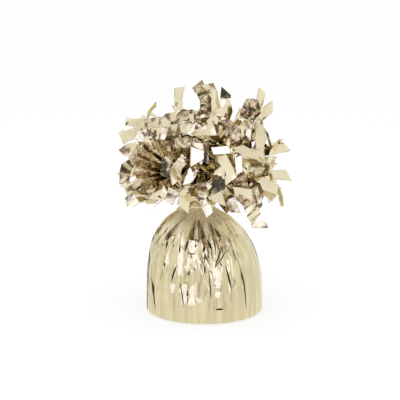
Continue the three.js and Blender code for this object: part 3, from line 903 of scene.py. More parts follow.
def between(values):
    """Values at a strip's fold lines carried to all its rows, with straight lines between."""
    lines = np.arange(len(values))
    rows = np.linspace(0, lines[-1], lines[-1] * PANEL_ROWS + 1)
    return np.stack([np.interp(rows, lines, part) for part in np.atleast_2d(values.T)], -1)


def ribbon(centres, sides, normals, half, valley, thickness):
    """A strip of flat panels from its fold lines: their middles, directions, normals and half lengths,
    and the slope of a lengthwise fold along its middle."""
    row_half = between(half)
    flat = between(centres)[:, None] + between(sides)[:, None] * (ACROSS * row_half)[..., None]
    out = (np.abs(ACROSS) - 0.5) * row_half * between(valley)
    return slab(flat + between(normals)[:, None] * out[..., None], thickness)


def fold_places(total, near, far, rng):
    """Distances of fold lines from a strip's foot: near apart at its root and far apart at its tip."""
    lines = [0.0, STEM_LENGTH * 0.8]
    while lines[-1] < total:
        share = lines[-1] / total
        lines.append(lines[-1] + rng.uniform(0.7, 1.3) * (near + (far - near) * share**1.5))
    lines = np.array(lines[:-1])
    keep = lines < total - far * 0.4
    return np.append(lines[keep], total)


# Fold lines across a strip on a path and across a filling strip: the gaps between them at the root and at
# the tip, and their greatest slants on the way and at the end, in degrees
PATH_GAPS = (2.2 * MM, 10 * MM)
PATH_SLANTS = (32, 14)
FILLING_GAPS = (2.6 * MM, 6 * MM)
FILLING_SLANTS = (34, 16)


def strip_surface(sizes, path, stem_width, rng):
    """A crinkled ribbon on a path, as a closed slab. Fold lines cross it at a slant, close together near
    its root and far apart at its tip, standing in turn to one side and the other of the path; between
    them the film is flat. It is also folded lengthwise in the gather, which opens towards the tip."""
    along, centre, side, face = path
    total = along[-1]
    lines = fold_places(total, *PATH_GAPS, rng)
    number = len(lines)
    fade = 1 - smooth(lines, 0.3 * total, 0.9 * total)
    sign = np.where(np.arange(number) % 2, 1, -1)
    stand = sign * rng.uniform(0.3, 1.0, number) * sizes.crush * (0.7 + 0.3 * fade)
    stand[0] = 0
    slant = fold_slants(np.diff(lines), sizes.width / 2, *PATH_SLANTS, rng)
    valley = rng.choice([-1, 1]) * (0.06 + 0.55 * fade) * rng.uniform(0.5, 1.2, number)
    row_along, row_stand = between(lines), between(stand)
    row_slant, row_valley = between(slant), between(valley)
    half = strip_half(sizes, stem_width, row_along)
    reach = np.clip(row_along + ACROSS * half * row_slant, 0, total + 2 * MM)
    reach = np.where(row_along <= 0, 0, reach)

    def on_path(values):
        return np.stack([np.interp(reach, along, values[:, axis]) for axis in range(3)], -1)

    beyond = np.clip(reach - total, 0, None)[..., None] * (centre[-1] - centre[-2]) / along[1]
    drawn_in = np.sqrt(1 / (1 + row_valley**2))
    middle = on_path(centre) + beyond
    out = row_stand + (np.abs(ACROSS) - 0.5) * half * row_valley
    sheet = middle + on_path(side) * (ACROSS * half * drawn_in)[..., None] + on_path(face) * out[..., None]
    return slab(sheet, sizes.thickness)


def turned(vectors, axis, angle):
    """Vectors turned about a unit axis: v cos a + (axis x v) sin a + axis (axis . v) (1 - cos a)."""
    along = (vectors @ axis)[:, None] * axis
    across = np.cross(axis, vectors)
    return vectors * math.cos(angle) + across * math.sin(angle) + along * (1 - math.cos(angle))


# At its knee a filling strip turns by this many degrees, and this share of the knees above a height turns
# down. Before it, this share of the folds turns the way that brings the strip back to its path. After it
# comes one more fold, this share of the way to the tip, of up to this many degrees
KNEE_BEND = (55, 95)
KNEE_DOWN_SHARE = 0.7
KNEE_DOWN_ABOVE = 78 * MM
RETURN_SHARE = 0.92
LAST_FOLD_SHARE = (0.42, 0.62)
LAST_FOLD = 28


def fold_walk(path, lines, slant, most, rng):
    """The middles and directions of a filling strip's fold lines, from their distances and slants. Each
    panel leads straight to its next line, about which the heading then turns: before the knee by up to
    most, as a rule to the side that keeps near the path, at the knee a long way, and past it a little."""
    along, centre, _, face = path
    forward = np.gradient(centre, axis=0) / along[1]
    heading = np.array([forward[0], np.cross(face[0], forward[0]), face[0]])
    turning = len(lines) - 3
    where = centre[0]
    centres, axes = [where], [heading[1]]
    for index in range(1, len(lines)):
        where = where + heading[0] * (lines[index] - lines[index - 1])
        axis = heading[1] + slant[index] * heading[0]
        centres.append(where)
        axes.append(axis)
        axis = axis / np.linalg.norm(axis)
        size = rng.uniform(0.35, 1.0) * most
        if index == turning:
            bend = math.radians(rng.uniform(*KNEE_BEND))
            choices = [turned(heading, axis, bend * way) for way in (1, -1)]
            lower = int(choices[1][0][2] < choices[0][0][2])
            down = rng.uniform() < KNEE_DOWN_SHARE and where[2] > KNEE_DOWN_ABOVE
            heading = choices[lower if down else 1 - lower]
        elif index > turning:
            heading = turned(heading, axis, math.radians(rng.uniform(-LAST_FOLD, LAST_FOLD)))
        else:
            wanted = np.array([np.interp(lines[index], along, part) for part in forward.T])
            choices = [turned(heading, axis, angle) for angle in (size, -size)]
            nearer = int(choices[1][0] @ wanted > choices[0][0] @ wanted)
            heading = choices[nearer if rng.uniform() < RETURN_SHARE else 1 - nearer]
    return np.array(centres), np.array(axes)


def folded_surface(sizes, path, stem_width, knee, rng):
    """A ribbon folded like paper: flat panels joined along slanted fold lines. Up to its knee it keeps
    near a path. The broad panels past the knee lie across the path, as the outside of the fringe."""
    total = path[0][-1]
    before = fold_places(knee, *FILLING_GAPS, rng)
    after = knee + (total - knee) * np.array([rng.uniform(*LAST_FOLD_SHARE), 1.0])
    lines = np.concatenate([before, after])
    slant = fold_slants(np.diff(lines), sizes.width / 2, *FILLING_SLANTS, rng)
    centres, axes = fold_walk(path, lines, slant, sizes.fold_angle, rng)
    normals = np.cross(np.gradient(centres, axis=0), axes)
    normals /= np.linalg.norm(normals, axis=1)[:, None]
    valley = rng.choice([-1, 1]) * rng.uniform(0.1, 0.5, len(lines)) * (1 - 0.7 * lines / total)
    return ribbon(centres, axes, normals, strip_half(sizes, stem_width, lines), valley, sizes.thickness)


def strip_shares(points, wrap, crumpled=0):
    """The attributes of points in rows across strips: one that makes the film duller and paints it with
    shade deep in the fringe near its root and with shade and reflections where it is crumpled, but not
    where crumpled is below 0, and edge, which rises from 0 in the middle of a strip to 1 at its edges."""
    row = np.abs(np.concatenate([ACROSS, ACROSS[::-1]]))
    dull_and_painted_light = np.where(crumpled < 0, 0, np.maximum(root_shade_share(points, wrap), crumpled))
    return {"dull_and_painted_light": dull_and_painted_light, "edge": np.tile(row, len(points) // len(row))}


def crumpled_share(crinkle, count):
    """How much painted shade and reflection a listed strip's crumples take, for each of its points in order
    along it, or -1 where it is flat. The most deeply crinkled strips keep a bright tip."""
    if not crinkle:
        return np.full(count, -1.0)
    share = np.full(count, min(abs(crinkle) * 1.4, 0.85))
    if crinkle > 0.7:
        share *= 1 - smooth(np.linspace(0, 1, count), 0.72, 0.8)
    return share


# Painted shade deep in the fringe lies round a point this high above the dome: fully within the first
# distance from it, and not at all past the second
ROOT_SHADE_ABOVE_DOME = 6 * MM
ROOT_SHADE_REACH = (12 * MM, 36 * MM)


def root_shade_share(points, wrap):
    """How much painted shade the film takes deep in the fringe: fully near the top of the neck, and less
    and less towards the tips.
    """
    root = np.array([wrap.neck_shift, 0, wrap.dome_height + ROOT_SHADE_ABOVE_DOME])
    return 1 - smooth(np.linalg.norm(points - root, axis=1), *ROOT_SHADE_REACH)


def joined(surfaces):
    """Several closed surfaces as one: their points, faces and fold lines, numbered on."""
    points = np.concatenate([surface[0] for surface in surfaces])
    starts = np.cumsum([0, *[len(surface[0]) for surface in surfaces[:-1]]])
    faces = np.concatenate([surface[1] + start for surface, start in zip(surfaces, starts)])
    folds, used = [], 0
    for surface in surfaces:
        lines = surface[2]
        folds.append(np.where(lines >= 0, lines + used, -1))
        used += lines.max() + 1
    return points, faces, np.concatenate(folds)


# Strips that show by themselves at the front and round the edge of the fringe, tier by tier. The key is the
# pair's number, and 0 for its lower strip or 1 for its upper one. Each has its width, the depth of its
# crinkles (or, below 0, the slope of a lengthwise pleat), and its points from where it comes into view to
# its tip. Each point has how far it lies across and up on the picture plane and in front of the axis, all
# in millimetres, and how far the face is rolled from the camera there, in degrees.
SHOWN = {
    "hanging": {
        (1, 0): (4.5, 0, ((33, 71, 3, 50), (39.6, 69, 2, 56), (42, 64, 1, 60), (42.7, 58, 0, 62))),
        (9, 0): (5, 0.3, ((-34, 73, 8, 45), (-38.4, 69, 7, 50), (-40.6, 64.4, 6, 54),
            (-43, 59.4, 5, 56))),
        (10, 1): (4.4, -0.8, ((-22, 74.6, 29, 0), (-28.6, 71.6, 32, -6), (-34.4, 68.4, 30, -10))),
        (12, 0): (6, 0, ((-1, 63, 12, 0), (0.4, 59.6, 13.4, 14), (2.8, 53.2, 14.6, 15))),
        (12, 1): (6, 0, ((-6, 64, 18, 0), (-9, 60, 22, 20), (-12.5, 55.5, 24, 26))),
        (13, 0): (5, 0.9, ((-2, 72, 34, 0), (-1.4, 66.6, 38, 0), (-1, 59.4, 42, 0))),
        (13, 1): (6.5, 0, ((8, 64, 20, 0), (11, 60.4, 23, -20), (14, 56.5, 25, -24))),
        (14, 0): (6, 0.3, ((11, 66, 30, 0), (14, 61.4, 34, 5), (16.4, 54.6, 37, 5))),
        (15, 0): (6.5, 0.1, ((18, 76, 24, 0), (24, 79.6, 24, 20), (30, 79, 20, 25), (36, 77.4, 14, 28))),
        (15, 1): (6, 0.15, ((18, 84, 24, 0), (24, 87, 24, 20), (29.6, 86.4, 20, 25))),
    },
    "low": {
        (1, 0): (7, 0, ((26, 75.6, 4, 18), (35, 75, 5, 24), (41, 75.4, 4, 26), (46.4, 75, 3, 28))),
        (8, 0): (6, 0.5, ((-37, 84, 12, 10), (-42.6, 79.6, 12, 0), (-44, 74.4, 13, 0),
            (-43.2, 69.4, 14, 10))),
        (8, 1): (4.6, -0.9, ((-22, 76, 30, 0), (-30, 75.6, 33, 6), (-37.4, 74.6, 31, 10))),
        (9, 0): (7, 0, ((-17, 73, 26, 0), (-21.6, 68, 30, 24), (-26.4, 61.6, 31, 26))),
        (9, 1): (7, 0.4, ((-12, 72, 28, 0), (-16, 67, 33, 10), (-19.6, 60, 35, 12))),
        (10, 0): (7, 0, ((-7, 70, 30, 0), (-10.4, 65, 34, -24), (-11.6, 56.4, 35, -26))),
        (11, 0): (7.5, 0, ((3, 72, 34, 0), (5.4, 67, 37, -20), (7.6, 59.4, 38, -26))),
        (11, 1): (7, 0, ((8.4, 80, 37, 24), (8, 75.6, 39.4, 24), (7.9, 74, 39.8, 0), (7, 65.4, 41.6, 0))),
        (12, 0): (8, 0.85, ((14, 80, 25, 0), (18.4, 73, 29.5, -4), (22.5, 62, 35.5, -8),
            (26.6, 53, 41, -10), (29.6, 46.5, 44.6, -10))),
        (12, 1): (4, 0.4, ((23, 71, 28, 0), (27, 67, 31, 8), (29, 62, 33, 8), (29.6, 57, 34.6, 8))),
        (13, 0): (6, 0.4, ((24, 71, 18, 0), (28, 68.6, 21, 10), (31, 61.4, 23, 10))),
        (13, 1): (7.5, 0, ((20, 74, 14, 18), (28, 71.4, 15, 24), (35, 69, 12, 26), (40, 67, 9, 28))),
    },
    "middle": {
        (1, 0): (6, 0, ((22, 86, 4, 20), (33, 88, 3, 26), (39, 89.2, 2, 28), (45.3, 90.8, 2, 30))),
        (1, 1): (4, 0, ((28, 96, 3, 50), (32, 101, 3, 66), (34, 98.6, 3, 70), (36.3, 91, 3, 72))),
        (6, 0): (7.5, 0.1, ((-20, 97, 16, 10), (-29, 98.6, 13.5, 20), (-37, 98, 9.5, 14),
            (-46, 95.4, 4.5, 8))),
        (6, 1): (5, 0, ((-36, 91, 10, 10), (-42, 89.6, 8, 22), (-45.4, 87, 7, 24))),
        (7, 0): (4.6, -0.9, ((-22, 77.6, 31, 0), (-30, 79.6, 33, -8), (-38.4, 81, 30, -12))),
        (7, 1): (4.6, -0.8, ((-22, 79, 31, 0), (-29, 83.4, 34, 8), (-36.4, 87.4, 31, 12))),
        (8, 0): (6, 0.12, ((-17, 88, 29, 0), (-20, 84.4, 33, 0), (-21.4, 74, 35.2, 0))),
        (8, 1): (4, 0, ((-5, 82, 34, 0), (-7, 77.6, 37, 14), (-9.6, 70, 38, 14))),
        (9, 0): (7, 0, ((6, 85, 35, 0), (9.6, 83.4, 38.4, 20), (13, 77.6, 41, 25), (14, 71.4, 42, 24))),
        (9, 1): (6, 0.15, ((-10, 84, 32, 0), (-13, 81.6, 33, -20), (-16.4, 76, 35, -24),
            (-15, 71, 36, -20))),
        (10, 0): (7.5, 0.1, ((14, 90, 26, 0), (17, 97, 28, 10), (21.6, 99, 26, 22), (20.4, 90, 26, 26),
            (22, 80, 25, 24))),
        (10, 1): (7, 0.1, ((14, 86, 31, 0), (20, 88, 31, 20), (26, 84, 29, 26), (30, 76.6, 26, 28))),
    },
    "high": {
        (1, 0): (6.5, 0, ((24, 99, 0, 25), (28.5, 105.6, 0, 30), (33, 109.6, 0, 32),
            (37.4, 112.8, 0, 32))),
        (1, 1): (7, 0, ((23, 96, 8, -20), (27, 101.6, 8, -26), (31, 107, 8, -28))),
        (2, 0): (6.5, 0.12, ((15, 98, 10, 0), (20, 104, 13, 0), (23, 101, 17, 24), (22, 92, 19, 26),
            (24.4, 83, 18, 22))),
        (3, 0): (7.5, 0.1, ((-1, 92, 28, 0), (-4.5, 99.4, 31, 10), (-12, 99.4, 29, 22),
            (-20, 98.6, 26, 24))),
        (3, 1): (6, 0, ((-8, 98, 14, 0), (-14, 107, 14, 10), (-19.6, 106, 12, 24), (-24.4, 100, 10, 24))),
        (4, 0): (6, 0.1, ((-14, 105.6, 12, 10), (-24, 104, 9.5, 22), (-33, 102.8, 7, 24),
            (-38, 103.4, 5.5, 24), (-43.2, 104.6, 4, 24))),
        (4, 1): (5, 0.15, ((-26, 94, 17, 0), (-31, 97.6, 16, 14), (-37.2, 96.4, 15.5, 16))),
        (5, 0): (4.6, -0.9, ((-22, 80, 30, 0), (-28, 86.5, 33, 10), (-32.6, 92, 31, 14))),
        (5, 1): (4.2, -0.8, ((-18, 82, 32, 0), (-23.4, 88, 34, -10), (-27, 93, 33, -14))),
        (6, 0): (3.5, 0, ((1, 93, 33, 0), (0.8, 87.6, 36.4, -2), (0.8, 81.2, 37.8, -2))),
        (6, 1): (7.2, 0, ((-4, 92, 33, 0), (-4, 88.6, 36, 14), (-4.2, 81.2, 37, 14))),
        (7, 0): (3.8, 0, ((15, 88, 30, 0), (18, 84.6, 33, -12), (18.6, 76, 34, -13))),
        (7, 1): (7, 0.1, ((18, 96, 10, 0), (25, 103.6, 10, 0), (29.6, 102, 12, -28), (30.4, 94, 13, -32),
            (29.6, 85, 13, -30))),
    },
    "crown": {
        (1, 0): (6, 0, ((24, 99, 2, 25), (27, 107, 2, 30), (30, 114.5, 1, 34), (31.6, 121.6, 0, 36))),
        (1, 1): (6, 0.6, ((21, 99, 8, 0), (21.8, 108, 7, 0), (24, 114.6, 5, 0), (27.5, 113, 6, 0),
            (26.8, 107.6, 8, 0))),
        (2, 0): (7.5, 0, ((3, 94, 20, 0), (9, 107, 19, -20), (6.5, 104.5, 23, -22), (2, 99.6, 27, -25))),
        (2, 1): (7, 0.1, ((-1, 98, 18, 0), (-2.6, 106, 20, 10), (-9, 107.6, 18, 22),
            (-16, 105.6, 15.5, 24))),
        (3, 0): (4, 0, ((-26, 100, 0, 50), (-31.5, 105.5, -2, 62), (-30, 110.5, -3, 66),
            (-26.6, 114.2, -3, 60))),
        (3, 1): (4, 0, ((-20, 102, 2, 45), (-25, 104.5, 1, 56), (-27.5, 107.5, 0, 62),
            (-29.8, 109.3, 0, 66))),
        (4, 0): (6.5, 0.7, ((8, 97, 26, 0), (10, 102.4, 27, 0), (14, 100.4, 29, 0), (18.6, 95, 30, 0))),
        (4, 1): (6.5, 0.7, ((-2, 90, 31, 0), (-8, 92.6, 32.6, 0), (-17, 91.4, 32, 0),
            (-26, 88.4, 29, 0))),
        (5, 0): (6.5, 0.12, ((11, 96, 26, 0), (7, 99.5, 31, 15), (-4, 98, 28, 24))),
        (5, 1): (4.5, 0, ((12, 93, 34, 0), (13, 88.2, 39, -5), (4, 87.6, 36.6, -5))),
    },
    "top": {
        (1, 0): (6, 0, ((-10, 98, 6, 20), (-13.5, 108, 5, 22), (-14.6, 117, 4, 24), (-13.6, 123, 3, 28))),
        (1, 1): (7, 0, ((-8, 97, 12, 10), (-11, 106, 13, -22), (-13.5, 111.5, 13, -24))),
        (2, 0): (6.5, 0.7, ((0.5, 104, 13, 0), (0.5, 115.5, 9, 0), (-4.2, 124.8, 4, 5))),
        (2, 1): (7, 0, ((2, 97, 12, 5), (6.5, 105, 10, 20), (5.8, 113, 8, 22), (4.2, 120, 6, 24),
            (1.2, 124.6, 4, 25))),
        (3, 0): (7, 0, ((10, 103, 12, -20), (11.8, 110, 11, -26), (11, 115.6, 10, -20),
            (11.3, 116.8, 9.6, 0), (11.7, 120.8, 8.6, 0))),
        (3, 1): (7, 0, ((8, 99, 16, -20), (9.5, 106, 15, -28), (9.8, 112, 14, -30))),
    },
}


def picture_place(across, up, front, elevation):
    """A point from its place on the picture plane and its distance in front of the axis."""
    return across * MM, -front * MM, (up + front * math.sin(elevation)) / math.cos(elevation) * MM


# A listed strip: the length from one crinkle to the next, the number of points on its hidden part, the
# slants of its fold lines on the way and at its tip in degrees, and how its width varies
CRINKLE_STEP = 1.7 * MM
HIDDEN_POINTS = 8
SHOWN_SLANT = 28
TIP_SLANTS = (12, 38)
WIDTH_SHARES = (0.76, 1.12)


def shown_course(shape, foot, elevation):
    """The points of a listed strip's middle and how far each is rolled from the line of sight: out
    of its stem on a curve to its first point, and on through the others, in even steps if crinkled."""
    _, crinkle, stations = shape
    stations = np.array(stations, float)
    seen = np.array([picture_place(*station[:3], elevation) for station in stations])
    rolls = stations[:, 3]
    pull = foot + np.array([0, 0, 0.55 * np.linalg.norm(seen[0] - foot)])
    course = bezier(foot, pull, seen[0], 30)
    hidden = even_along(course, HIDDEN_POINTS + 1)[:-1]
    if crinkle > 0:
        length = np.linalg.norm(np.diff(seen, axis=0), axis=1).sum()
        even = even_along(np.column_stack([seen, rolls * MM]), max(int(length / CRINKLE_STEP), 3))
        seen, rolls = even[:, :3], even[:, 3] / MM
    rolls = np.concatenate([np.linspace(0, rolls[0], HIDDEN_POINTS), rolls])
    return np.concatenate([hidden, seen]), np.radians(rolls)


def shown_surface(sizes, shape, foot, stem_width, elevation, rng):
    """A listed strip as a closed slab. Each point's side is square to the strip and to the line of
    sight, and rolled about the strip. Fold lines cross it at a slant. Where it is crinkled they stand in
    turn to one side and the other, and where it is pleated it is folded lengthwise."""
    width, crinkle = shape[0] * MM, shape[1]
    centres, rolls = shown_course(shape, foot, elevation)
    rolls = rolls[:, None]
    number = len(centres)
    tangent = np.gradient(centres, axis=0)
    tangent /= np.linalg.norm(tangent, axis=1)[:, None]
    sight = np.array([0, -math.cos(elevation), math.sin(elevation)])
    face = sight - (tangent @ sight)[:, None] * tangent
    face /= np.linalg.norm(face, axis=1)[:, None]
    side = np.cross(tangent, face)
    normal = face * np.cos(rolls) + side * np.sin(rolls)
    side = side * np.cos(rolls) - face * np.sin(rolls)
    depth = np.full(number, max(crinkle, 0) * MM / 2)
    depth[:HIDDEN_POINTS] = sizes.crush / 2
    depth *= np.where(np.arange(number) % 2, 1, -1) * rng.uniform(0.5, 1.2, number)
    centres = centres + normal * depth[:, None]
    slant = np.tan(np.radians(rng.uniform(-SHOWN_SLANT, SHOWN_SLANT, number))) * (1.0 if crinkle else 0.8)
    slant[0] = 0
    slant[-1] = math.tan(math.radians(rng.uniform(*TIP_SLANTS))) * rng.choice([-1, 1])
    slant = limited_slants(slant, np.linalg.norm(np.diff(centres, axis=0), axis=1), width / 2)
    side = side + slant[:, None] * tangent
    open_share = smooth(np.arange(number), 1, HIDDEN_POINTS)
    half = (stem_width + (width * rng.uniform(*WIDTH_SHARES, number) - stem_width) * open_share) / 2
    valley = rng.uniform(-0.08, 0.08, number) if crinkle >= 0 else np.full(number, -crinkle)
    points, faces, folds = ribbon(centres, side, normal, half, valley, sizes.thickness)
    return points, faces, folds if crinkle > 0 else np.full_like(folds, -1)


def strip_pair(scene, tier, index, ring, rng):
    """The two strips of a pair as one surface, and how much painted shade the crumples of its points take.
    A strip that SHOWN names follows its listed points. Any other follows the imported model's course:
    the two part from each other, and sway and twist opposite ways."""
    sizes, wrap = scene.weight_fringe, scene.weight_wrap
    first, lift, strips = TIERS[tier]
    rise, droop, share = strips[index]
    stem_width = STEM_FILL * 2 * ring * math.tan(math.pi / len(strips))
    spacing = 360 / len(strips)
    direction = first + spacing * index
    hand = -1 if index % 2 else 1
    pair, crumpled = [], []
    for place, (way, extra, part) in enumerate(((-1, 0, 1), (1, lift, UPPER_SHARE))):
        foot = stem_foot(wrap, ring, direction, way * stem_width / 4)
        shape = SHOWN[tier].get((index + 1, place))
        if shape:
            elevation = scene.weight_studio.elevation
            pair.append(shown_surface(sizes, shape, foot, stem_width / 2, elevation, rng))
            crumpled.append(crumpled_share(shape[1], len(pair[-1][0])))
            continue
        turn = -way * hand
        length = sizes.length * share * part
        twist = turn * rng.uniform(*TWIST)
        sway, parting = turn * SWAY, way * spacing / 4
        path = strip_path(foot, direction, parting, rise + extra, droop, length, sway, twist)
        pair.append(strip_surface(sizes, path, stem_width / 2, rng))
        crumpled.append(np.zeros(len(pair[-1][0])))
    return joined(pair), np.concatenate(crumpled)


def add_strips(name, surface, wrap, finish, crumpled=0, replaces=()):
    """A piece of the fringe from a surface and how crumpled its points are, which sets their painted shade.
    """
    points, faces, folds = surface
    shares = strip_shares(points, wrap, crumpled)
    add_piece(name, points, faces, finish, "fringe_foil", folds, replaces, STRIP_CREASE, **shares)


class WEIGHT_OT_fringe(bpy.types.Operator):
    """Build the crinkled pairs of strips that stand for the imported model's pairs"""

    bl_idname = "weight.fringe"
    bl_label = "Fringe strips"

    def execute(self, context):
        scene = context.scene
        wrap, finishes = scene.weight_wrap, scene.weight_finishes
        rng = np.random.default_rng(scene.weight_fringe.seed)
        finish = foil_finish("fringe_film", finishes.fringe, finishes.film_roughness, ripple=0.16)
        for number, (tier, (_, _, strips)) in enumerate(TIERS.items()):
            ring = OUTER_STEM_RING * (1 - number / len(TIERS))
            for index in range(len(strips)):
                surface, crumpled = strip_pair(scene, tier, index, ring, rng)
                label = f"{tier}_{index + 1:02d}"
                add_strips(f"fringe_{label}", surface, wrap, finish, crumpled, [f"strip_{label}"])
        return {"FINISHED"}


# The turn from one filling strip to the next, in degrees, which spreads them evenly, and a stem's width
GOLDEN_TURN = 137.508
FILLING_STEM = 1.6 * MM


class WEIGHT_OT_fringe_filling(bpy.types.Operator):
    """Build the folded strips that fill the fringe and close its outside between the others"""

    bl_idname = "weight.fringe_filling"
    bl_label = "Filling strips"

    def execute(self, context):
        sizes, wrap = context.scene.weight_fringe, context.scene.weight_wrap
        rng = np.random.default_rng(sizes.seed + 1)
        finish = bpy.data.materials["fringe_film"]
        for index in range(sizes.filling):
            # From the outer ones, which lie low and droop, to the inner ones, which stand upright
            level = (index + 0.5) / sizes.filling
            ring = OUTER_STEM_RING * (1 - level) * 0.9 + 0.5 * MM
            rise = 8 + 80 * level**0.9 + rng.uniform(-6, 6)
            droop = rng.uniform(0, 30) * (1 - level)
            knee = rng.uniform(36, 44 + 4 * level) * MM
            length = knee + rng.uniform(11, 18) * MM
            direction = GOLDEN_TURN * index
            sway, twist = rng.uniform(-20, 20), rng.uniform(-60, 60)
            foot = stem_foot(wrap, ring, direction)
            path = strip_path(foot, direction, 0, rise, droop, length, sway, twist)
            surface = folded_surface(sizes, path, FILLING_STEM, knee, rng)
            add_strips(f"fringe_filling_{index + 1:02d}", surface, wrap, finish)
        return {"FINISHED"}


# The tie and the hidden core


def sweep_faces(rows, columns):
    """Quads of a swept section, and a face with all its corners at each end."""
    ends = [list(range(columns)), list(range(rows * columns - 1, (rows - 1) * columns - 1, -1))]
    return [*ring_faces(rows, columns)[:, ::-1].tolist(), *ends]


# The tie's section: places across its breadth, and half its thickness there, which is greatest where its
# wire runs
TIE_BREADTH = np.array([-1.5, -1.45, -0.45, -0.25, 0.25, 0.45, 1.45, 1.5]) * MM
TIE_HALF = np.array([0.08, 0.12, 0.12, 0.3, 0.3, 0.12, 0.12, 0.08]) * MM
# The tie's distance from the neck and its wavy outside, and its tail: length, droop in degrees, turns, half
# the distance between its two ends, and how far it starts inside the ring
TIE_OFF_NECK = 0.95 * MM
TIE_WAVE = 0.12 * MM
TIE_WAVES = 42
TAIL_LENGTH = 13 * MM
TAIL_DROOP = 24
TAIL_TURNS = 2.5
TAIL_HALF_GAP = 0.32 * MM
TAIL_INSIDE = 0.2 * MM


def tie_section(turns):
    """A twist tie's section at each turn, as offsets along the ribbon's breadth and its thickness."""
    across = np.concatenate([TIE_BREADTH, TIE_BREADTH[::-1]])
    through = np.concatenate([TIE_HALF, -TIE_HALF[::-1]])
    return across * np.ones((turns, 1)), through * np.ones((turns, 1))


def tie_ring(middle, radius):
    """The tie round the neck: its section turned round Z, on a radius with small waves."""
    turn = np.linspace(0, 2 * math.pi, 97)[:-1]
    outward = np.stack([np.cos(turn), np.sin(turn), 0 * turn], -1)
    across, through = tie_section(len(turn))
    wavy = radius + TIE_WAVE * np.sin(turn * TIE_WAVES)
    level = outward[:, None] * (wavy[:, None] + through)[..., None]
    rings = middle + level + across[..., None] * np.array([0, 0, 1])
    rows, columns, _ = rings.shape
    return rings.reshape(-1, 3), (ring_faces(rows + 1, columns) % (rows * columns)).tolist()


def tie_end(middle, radius, lift):
    """One of the tie's two ends at the back, wound round each other: its section, moved aside by lift,
    turned about a falling line."""
    share = np.linspace(0, 1, 120)
    droop = math.radians(TAIL_DROOP)
    away = np.array([0, math.cos(droop), -math.sin(droop)])
    up = np.array([0, math.sin(droop), math.cos(droop)])
    aside = np.array([1.0, 0, 0])
    spin = 2 * math.pi * TAIL_TURNS * share[:, None]
    across, through = tie_section(len(share))
    through = through + lift
    high = across * np.cos(spin) - through * np.sin(spin)
    wide = across * np.sin(spin) + through * np.cos(spin)
    line = middle + away * (radius - TAIL_INSIDE) + away * (share * TAIL_LENGTH)[:, None]
    rings = line[:, None] + high[..., None] * up + wide[..., None] * aside
    return rings.reshape(-1, 3), sweep_faces(*rings.shape[:2])


class WEIGHT_OT_twist_tie(bpy.types.Operator):
    """Build the twist tie round the neck, with its wire bead and its twisted tail"""

    bl_idname = "weight.twist_tie"
    bl_label = "Twist tie"

    def execute(self, context):
        wrap = context.scene.weight_wrap
        middle = np.array([wrap.neck_shift, 0, wrap.dome_height + NECK_ABOVE_DOME + NECK_HEIGHT / 2])
        radius = wrap.neck_radius + TIE_OFF_NECK
        ends = [tie_end(middle, radius, lift) for lift in (TAIL_HALF_GAP, -TAIL_HALF_GAP)]
        points, faces = [], []
        for part_points, part_faces in (tie_ring(middle, radius), *ends):
            faces += [[corner + len(points) for corner in face] for face in part_faces]
            points += part_points.tolist()
        finish = tie_finish("tie_ribbon", context.scene.weight_finishes.tie)
        add_piece("tie_ribbon", points, faces, finish, "tie_plastic", None, ["twist_tie"], crease_angle=40)
        return {"FINISHED"}


class WEIGHT_OT_hidden_core(bpy.types.Operator):
    """Finish the cup and the plaster inside it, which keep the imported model's shapes"""

    bl_idname = "weight.hidden_core"
    bl_label = "Cup and plaster"

    def execute(self, context):
        finishes = context.scene.weight_finishes
        for node, finish in (
            ("core_cup", cup_finish("milky_cup", finishes.cup)),
            ("plaster_core", plaster_finish("cast_plaster", finishes.plaster)),
        ):
            piece = frame["nodes"][node]
            piece.data.materials.clear()
            piece.data.materials.append(finish)
        return {"FINISHED"}


# The studio


# The middle of the weight, which lamps and cards face
AIM = Vector((0, 0, 60 * MM))


def round_the_object(azimuth, elevation, distance):
    """A point at a direction from the weight's middle: azimuth 0 is the front, positive to the right."""
    across, high = math.radians(azimuth), math.radians(elevation)
    level = distance * math.cos(high)
    return AIM + Vector((level * math.sin(across), -level * math.cos(across), distance * math.sin(high)))


def rectangle(name, middle, right, up, material):
    """A flat rectangle from its middle and the vectors from there to the middles of two sides."""
    mesh = bpy.data.meshes.new(name)
    corners = [middle + x * right + y * up for x, y in ((-1, -1), (1, -1), (1, 1), (-1, 1))]
    mesh.from_pydata(corners, [], [(0, 1, 2, 3)])
    mesh.materials.append(material)
    made = bpy.data.objects.new(name, mesh)
    bpy.context.scene.collection.objects.link(made)
    return made


def reflection_card(name, azimuth, elevation, distance, width, height, colour):
    """A flat card of one brightness that faces the weight and shows only in its reflections."""
    place = round_the_object(azimuth, elevation, distance)
    facing = (AIM - place).normalized()
    level = Vector((0, 0, 1)).cross(facing).normalized() * width / 2
    up = facing.cross(level).normalized() * height / 2
    shader = Shader(name)
    paint = shader.node("ShaderNodeEmission", Color=(*colour, 1), Strength=1.0).outputs[0]
    shader.node("ShaderNodeOutputMaterial", Surface=paint)
    shader.material.cycles.emission_sampling = "NONE"
    card = rectangle(name, place, level, up, shader.material)
    for ray in ("camera", "diffuse", "shadow", "transmission", "volume_scatter"):
        setattr(card, f"visible_{ray}", False)


def soft_box(name, azimuth, elevation, distance, width, height, radiance):
    """An area lamp that faces the weight. Reflection cards stand for it in mirrors."""
    light = bpy.data.lights.new(name, "AREA")
    light.shape = "RECTANGLE"
    light.size, light.size_y = width, height
    light.energy = radiance * width * height * math.pi
    lamp = bpy.data.objects.new(name, light)
    bpy.context.scene.collection.objects.link(lamp)
    lamp.location = round_the_object(azimuth, elevation, distance)
    lamp.rotation_euler = (AIM - lamp.location).to_track_quat("-Z", "Y").to_euler()
    lamp.visible_camera = False
    lamp.visible_glossy = False


# How much of the floor's look, seen directly or mirrored, is plain white, half its side, and its height
PLAIN_SHARE = 0.75
FLOOR_HALF = 2.5
FLOOR_LEVEL = -0.2 * MM


